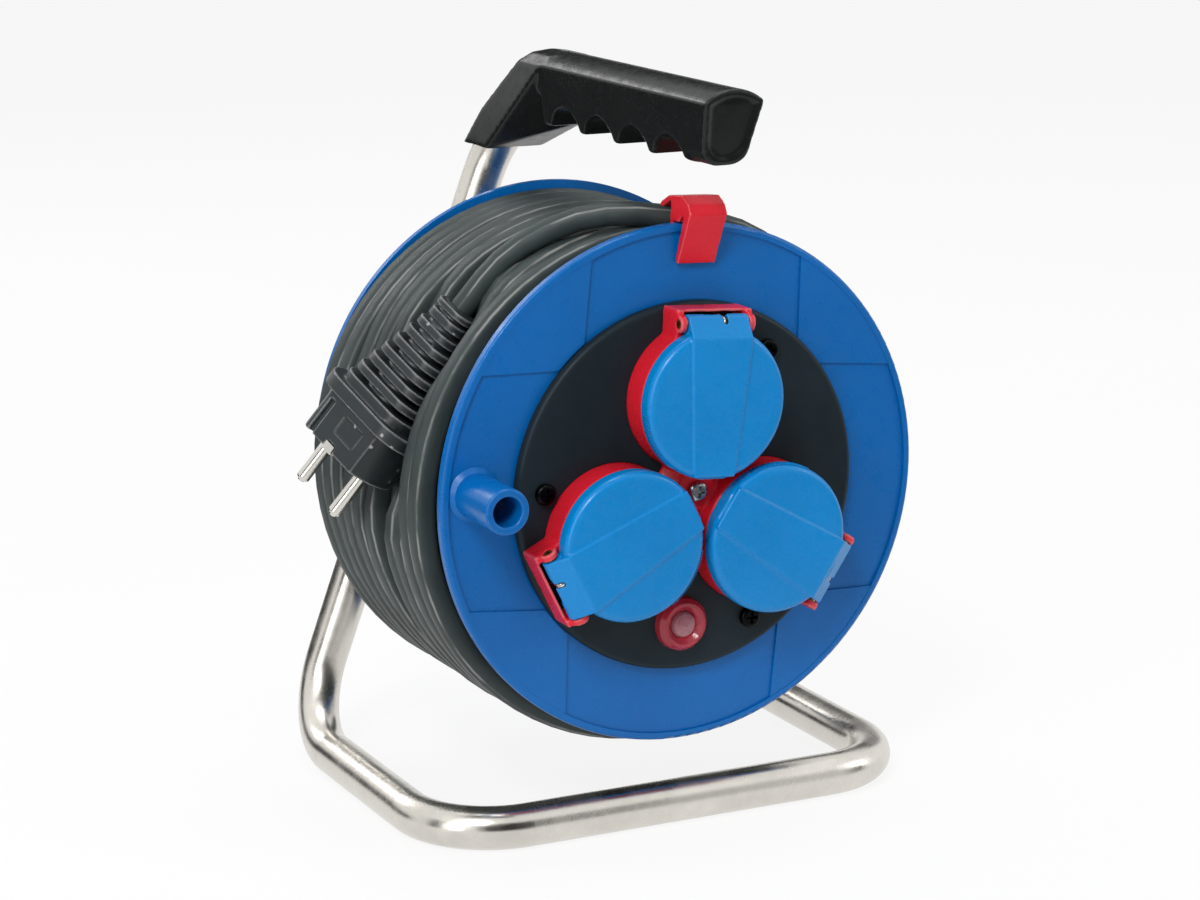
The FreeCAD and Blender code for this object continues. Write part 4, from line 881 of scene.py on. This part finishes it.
class REEL_OT_plug(bpy.types.Operator):
    """Mould the plug's body and collar with soft edges"""
    bl_idname = "reel.plug"
    bl_label = "Plug"

    @staticmethod
    def pieces():
        """What the cable's far end carries."""
        return [bpy.data.objects["plug_moulding"],
                bpy.data.objects["pins"],
                *(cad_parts[n] for n in ("plug_insert", "plug_earth_contacts"))]

    @staticmethod
    def sink_details(piece):
        """Sinks a guide groove and a plain shallow field into each flat."""
        across, _, along = plug_axes()
        out = plug_outward()
        centre = at(*PLUG_CENTRE)
        for vertex in piece.data.vertices:
            away = (vertex.co - centre) * 1000.0
            u, v, w = away.dot(across), away.dot(out), away.dot(along)
            if w < FLAT_START or abs(v) < FLAT_HEIGHT:
                continue
            groove = u * math.copysign(1.0, v) + GROOVE_PLACE
            field = groove - FIELD_PLACE
            deep = GROOVE_DEPTH * (1.0 - ease(*GROOVE_EDGE, abs(groove))) * ease(*GROOVE_START, w)
            sunk = (1.0 - ease(*FIELD_EDGE, abs(field))) * ease(*FIELD_START, w)
            deep += FIELD_DEPTH * sunk * (1.0 - ease(*FIELD_END, w))
            vertex.co -= out * math.copysign(deep, v) / 1000.0

    @staticmethod
    def dome_tips(piece, height):
        """Rounds the free end of each pin."""
        across, out, along = plug_axes()
        centre = at(*PLUG_CENTRE)
        places = [v.co - centre for v in piece.data.vertices]
        tip = max(place.dot(along) for place in places)
        ends = [(v, place) for v, place in zip(piece.data.vertices, places)
                if place.dot(along) > tip - height]
        for side in (-1.0, 1.0):
            end = [(v, place) for v, place in ends if place.dot(across) * side > 0.0]
            if not end:
                raise RuntimeError("a pin's tip wasn't found")
            middle = sum((place for _, place in end), Vector()) / len(end)
            rows = [(vertex, (place - middle).dot(across), (place - middle).dot(out),
                     (place.dot(along) - tip) / height + 1.0) for vertex, place in end]
            radius = max(math.hypot(u, v) for _, u, v, _ in rows)
            # A square of half width and height 1 is drawn in to a quarter circle.
            for vertex, u, v, high in rows:
                wide = math.hypot(u, v) / radius
                share = max(wide, high) / max(math.hypot(wide, high), 1e-6)
                vertex.co += (across * u + out * v) * (share - 1.0)
                vertex.co += along * high * height * (share - 1.0)

    def execute(self, context):
        piece = copy_of("plug_body", "plug_moulding")
        soften(piece, *SOFT_PLUG)
        self.sink_details(piece)
        modify(piece, "SMOOTH", factor=RELAX, iterations=1)
        dress(piece, "plug_rubber", "drum", "plug_body")
        pins = copy_of("plug_pins", "pins")
        soften(pins, context.scene.reel_sizes.pin_round, 4)
        self.dome_tips(pins, context.scene.reel_sizes.pin_dome)
        dress(pins, "nickel_pins", "drum", "plug_pins")
        return {"FINISHED"}


class REEL_OT_grip(bpy.types.Operator):
    """Mould the carrying grip with its dished nose and soft finger hollows"""
    bl_idname = "reel.grip"
    bl_label = "Grip"

    @staticmethod
    def round_nose(piece):
        """Rounds the nose's lower corners, less and less towards the finger hollows."""
        low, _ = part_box("handle_grip")
        front = [v.co for v in piece.data.vertices if v.co.y < low.y + NOSE_DEPTH]
        if not front:
            raise RuntimeError("the grip's nose wasn't found")
        foot = min(place.z for place in front)
        near, far = ([place for place in front if h < place.z - foot < h + 0.0015]
                     for h in NOSE_LEVELS)
        halves = [max(abs(place.x) for place in row) for row in (near, far)]
        faces = [min(place.y for place in row) for row in (near, far)]
        for vertex in piece.data.vertices:
            rise = (vertex.co.z - foot - NOSE_LEVELS[0]) / (NOSE_LEVELS[1] - NOSE_LEVELS[0])
            face = faces[0] + (faces[1] - faces[0]) * rise
            radius = NOSE_RADIUS * (1.0 - ease(0.009, 0.019, vertex.co.y - face))
            half = halves[0] + (halves[1] - halves[0]) * rise
            across = abs(vertex.co.x) - half + radius
            down = foot + radius - vertex.co.z
            reach = math.hypot(across, down)
            if radius > 0.0002 and across > 0.0 and down > 0.0 and reach > radius:
                vertex.co.x -= math.copysign(across * (1.0 - radius / reach), vertex.co.x)
                vertex.co.z += down * (1.0 - radius / reach)

    @staticmethod
    def dish_nose(piece):
        """Sinks the nose's face a little inside a raised border."""
        low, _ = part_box("handle_grip")
        nose = [v for v in piece.data.vertices
                if v.normal.y < -0.6 and v.co.y < low.y + NOSE_DEPTH]
        if not nose:
            raise RuntimeError("the grip's nose wasn't found")
        left = min(v.co.x for v in nose)
        right = max(v.co.x for v in nose)
        middle = (left + right) / 2.0
        foot = min(v.co.z for v in nose)
        top = max(v.co.z for v in nose)
        for vertex in nose:
            up = (vertex.co.z - foot) / (top - foot)
            half = (right - left) / 2.0 * (0.74 + 0.26 * min(up * 1.25, 1.0))
            aside = abs(vertex.co.x - middle)
            crown = top - NOSE_CROWN * (aside / half) ** 2
            corner = NOSE_CORNER - math.hypot(max(aside - half + NOSE_CORNER, 0.0),
                                              max(foot + NOSE_CORNER - vertex.co.z, 0.0))
            margin = min(half - aside, vertex.co.z - foot, crown - vertex.co.z, corner)
            vertex.co.y += NOSE_DISH * ease(0.0010, 0.0026, margin)

    def execute(self, context):
        piece = copy_of("handle_grip", "grip")
        soften(piece, *SOFT_GRIP)
        self.round_nose(piece)
        self.dish_nose(piece)
        modify(piece, "SMOOTH", factor=RELAX, iterations=5)
        dress(piece, "grip_plastic", "frame", "handle_grip")
        return {"FINISHED"}


class REEL_OT_lids(bpy.types.Operator):
    """Mould the three lids: soft edges, a covered hinge and finger serrations"""
    bl_idname = "reel.lids"
    bl_label = "Lids"

    @staticmethod
    def flush_end(piece, placed):
        """Brings the lid's free end back to its round skirt."""
        centre = placed(0.0, 0.0, SOCKET_CIRCLE)
        inward = (placed(0.0, 0.0, 0.0) - centre).normalized()
        limit = (LID_RADIUS - 0.05) / 1000.0
        for vertex in piece.data.vertices:
            away = Vector((vertex.co.x - centre.x, 0.0, vertex.co.z - centre.z))
            if away.length > limit and away.normalized().dot(inward) > 0.9:
                away *= limit / away.length
                vertex.co.x = centre.x + away.x
                vertex.co.z = centre.z + away.z

    @staticmethod
    def roof_section(end):
        """The roof's section, from the strip round the barrel's outer side to an angle."""
        y, z = HINGE
        count = round((ROOF_FRONT - end) / ROOF_STEP) + 1
        turns = [math.radians(ROOF_FRONT - ROOF_STEP * step) for step in range(count)]
        outer, inner = ([(y - radius * math.sin(turn), z + radius * math.cos(turn))
                         for turn in row]
                        for radius, row in ((ROOF_OUTSIDE, turns), (ROOF_INSIDE, turns[::-1])))
        foot = [(y - away, z - down) for away, down in ROOF_FOOT]
        return [*foot[:2], *outer, *inner, *foot[2:]]

    def hinge_cover(self, name, placed, left, right, end):
        """One length of the roof over the spring, from its left to its right edge."""
        outline = self.roof_section(end)
        mesh = bpy.data.meshes.new(name)
        mesh.from_pydata([placed(left, a, b) for a, b in outline], [], [range(len(outline))])
        cover = bpy.data.objects.new(name, mesh)
        bpy.context.scene.collection.objects.link(cover)
        edit(cover)
        bpy.ops.mesh.select_all(action="SELECT")
        way = placed(right, 0.0, 0.0) - placed(left, 0.0, 0.0)
        bpy.ops.mesh.extrude_region_move(TRANSFORM_OT_translate={"value": way})
        bpy.ops.mesh.select_all(action="SELECT")
        bpy.ops.mesh.normals_make_consistent(inside=False)
        leave()
        return cover

    @staticmethod
    def serrations(name, placed):
        """Fine upright ribs on the skirt, for a finger to lift the lid."""
        clear()
        turn = math.radians(SERRATION_START)
        reach = LID_RADIUS + 0.02
        spot = placed(reach * math.cos(turn), SKIRT_MIDDLE,
                      SOCKET_CIRCLE + reach * math.sin(turn))
        centre = placed(0.0, SKIRT_MIDDLE, SOCKET_CIRCLE)
        bpy.ops.mesh.primitive_cube_add(size=1.0)
        ribs = bpy.context.object
        ribs.name = name
        ribs.scale = (0.00042, 0.0042, 0.00042)
        out = spot - centre
        ribs.rotation_euler = (0.0, math.radians(45.0) - math.atan2(out.z, out.x), 0.0)
        ribs.location = spot
        settle(ribs)
        edit(ribs)
        bpy.ops.mesh.select_all(action="SELECT")
        bpy.ops.mesh.bevel(offset=0.00008, segments=1)
        bpy.ops.mesh.select_all(action="SELECT")
        bpy.ops.mesh.spin(steps=SERRATION_COUNT, dupli=True,
                          angle=math.radians(SERRATION_SPAN), center=centre,
                          axis=(0.0, 1.0, 0.0))
        bpy.ops.mesh.select_all(action="SELECT")
        bpy.ops.mesh.normals_make_consistent(inside=False)
        leave()
        return ribs

    def execute(self, context):
        # The middle length is a notch, through which the spring's leg passes as the lid opens.
        bridge = NOTCH_HALF + NOTCH_OVERLAP
        lengths = ((-ROOF_HALF, SPRING_LEG - NOTCH_HALF, ROOF_BACK),
                   (SPRING_LEG - bridge, SPRING_LEG + bridge, ROOF_FRONT),
                   (SPRING_LEG + NOTCH_HALF, ROOF_HALF, ROOF_BACK))
        for node, angle in LID_ANGLES.items():
            placed = by_angle(angle)
            piece = copy_of(node, node + "_moulding")
            self.flush_end(piece, placed)
            for length in lengths:
                join(piece, self.hinge_cover(node + "_cover", placed, *length))
            soften(piece, *SOFT_LID)
            join(piece, self.serrations(node + "_ribs", placed))
            smooth(piece, 60.0)
            dress(piece, "lid_blue", node, node)
        return {"FINISHED"}


class REEL_OT_sockets(bpy.types.Operator):
    """Mould the red socket block with soft edges"""
    bl_idname = "reel.sockets"
    bl_label = "Socket block"

    def execute(self, context):
        piece = copy_of("socket_block", "sockets")
        soften(piece, *SOFT_SOCKETS)
        dress(piece, "red_plastic", "drum", "socket_block", finish="red_wear_and_sheen")
        return {"FINISHED"}


class REEL_OT_clip(bpy.types.Operator):
    """Mould the cable clip with rounded sheet edges"""
    bl_idname = "reel.clip"
    bl_label = "Cable clip"

    def execute(self, context):
        piece = copy_of("cable_clip", "clip")
        soften(piece, *SOFT_CLIP)
        dress(piece, "red_plastic", "drum", "cable_clip", finish="red_wear_and_sheen")
        return {"FINISHED"}


class REEL_OT_finishes(bpy.types.Operator):
    """Make every finish and give each solid that still shows its own"""
    bl_idname = "reel.finishes"
    bl_label = "Finishes"

    def execute(self, context):
        FINISHES.update(make_finishes(context.scene.reel_colours))
        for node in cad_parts.values():
            for slot in node.material_slots:
                slot.material = finish_of(slot.material.name.split(".")[0])
        return {"FINISHED"}


class REEL_PT_panel(bpy.types.Panel):
    """The reel's pieces, sizes and colours"""
    bl_idname = "REEL_PT_panel"
    bl_label = "Cord reel"
    bl_space_type = "VIEW_3D"
    bl_region_type = "UI"
    bl_category = "Reel"

    def draw(self, context):
        layout = self.layout
        for operator in STEPS:
            layout.operator(operator.bl_idname)
        for group in (context.scene.reel_sizes, context.scene.reel_colours):
            for name in group.bl_rna.properties.keys():
                if name not in ("rna_type", "name"):
                    layout.prop(group, name)


STEPS = (REEL_OT_stage, REEL_OT_finishes, REEL_OT_plug, REEL_OT_cable, REEL_OT_grip, REEL_OT_lids,
         REEL_OT_sockets, REEL_OT_clip)
CLASSES = (ReelColours, ReelSizes, *STEPS, REEL_PT_panel)


def register():
    for item in CLASSES:
        bpy.utils.register_class(item)
    bpy.types.Scene.reel_colours = PointerProperty(type=ReelColours)
    bpy.types.Scene.reel_sizes = PointerProperty(type=ReelSizes)


def unregister():
    del bpy.types.Scene.reel_sizes
    del bpy.types.Scene.reel_colours
    for item in reversed(CLASSES):
        bpy.utils.unregister_class(item)


def main():
    register()
    for operator in STEPS:
        group, name = operator.bl_idname.split(".")
        getattr(getattr(bpy.ops, group), name)()
    clear()


if __name__ == "__main__":
    main()
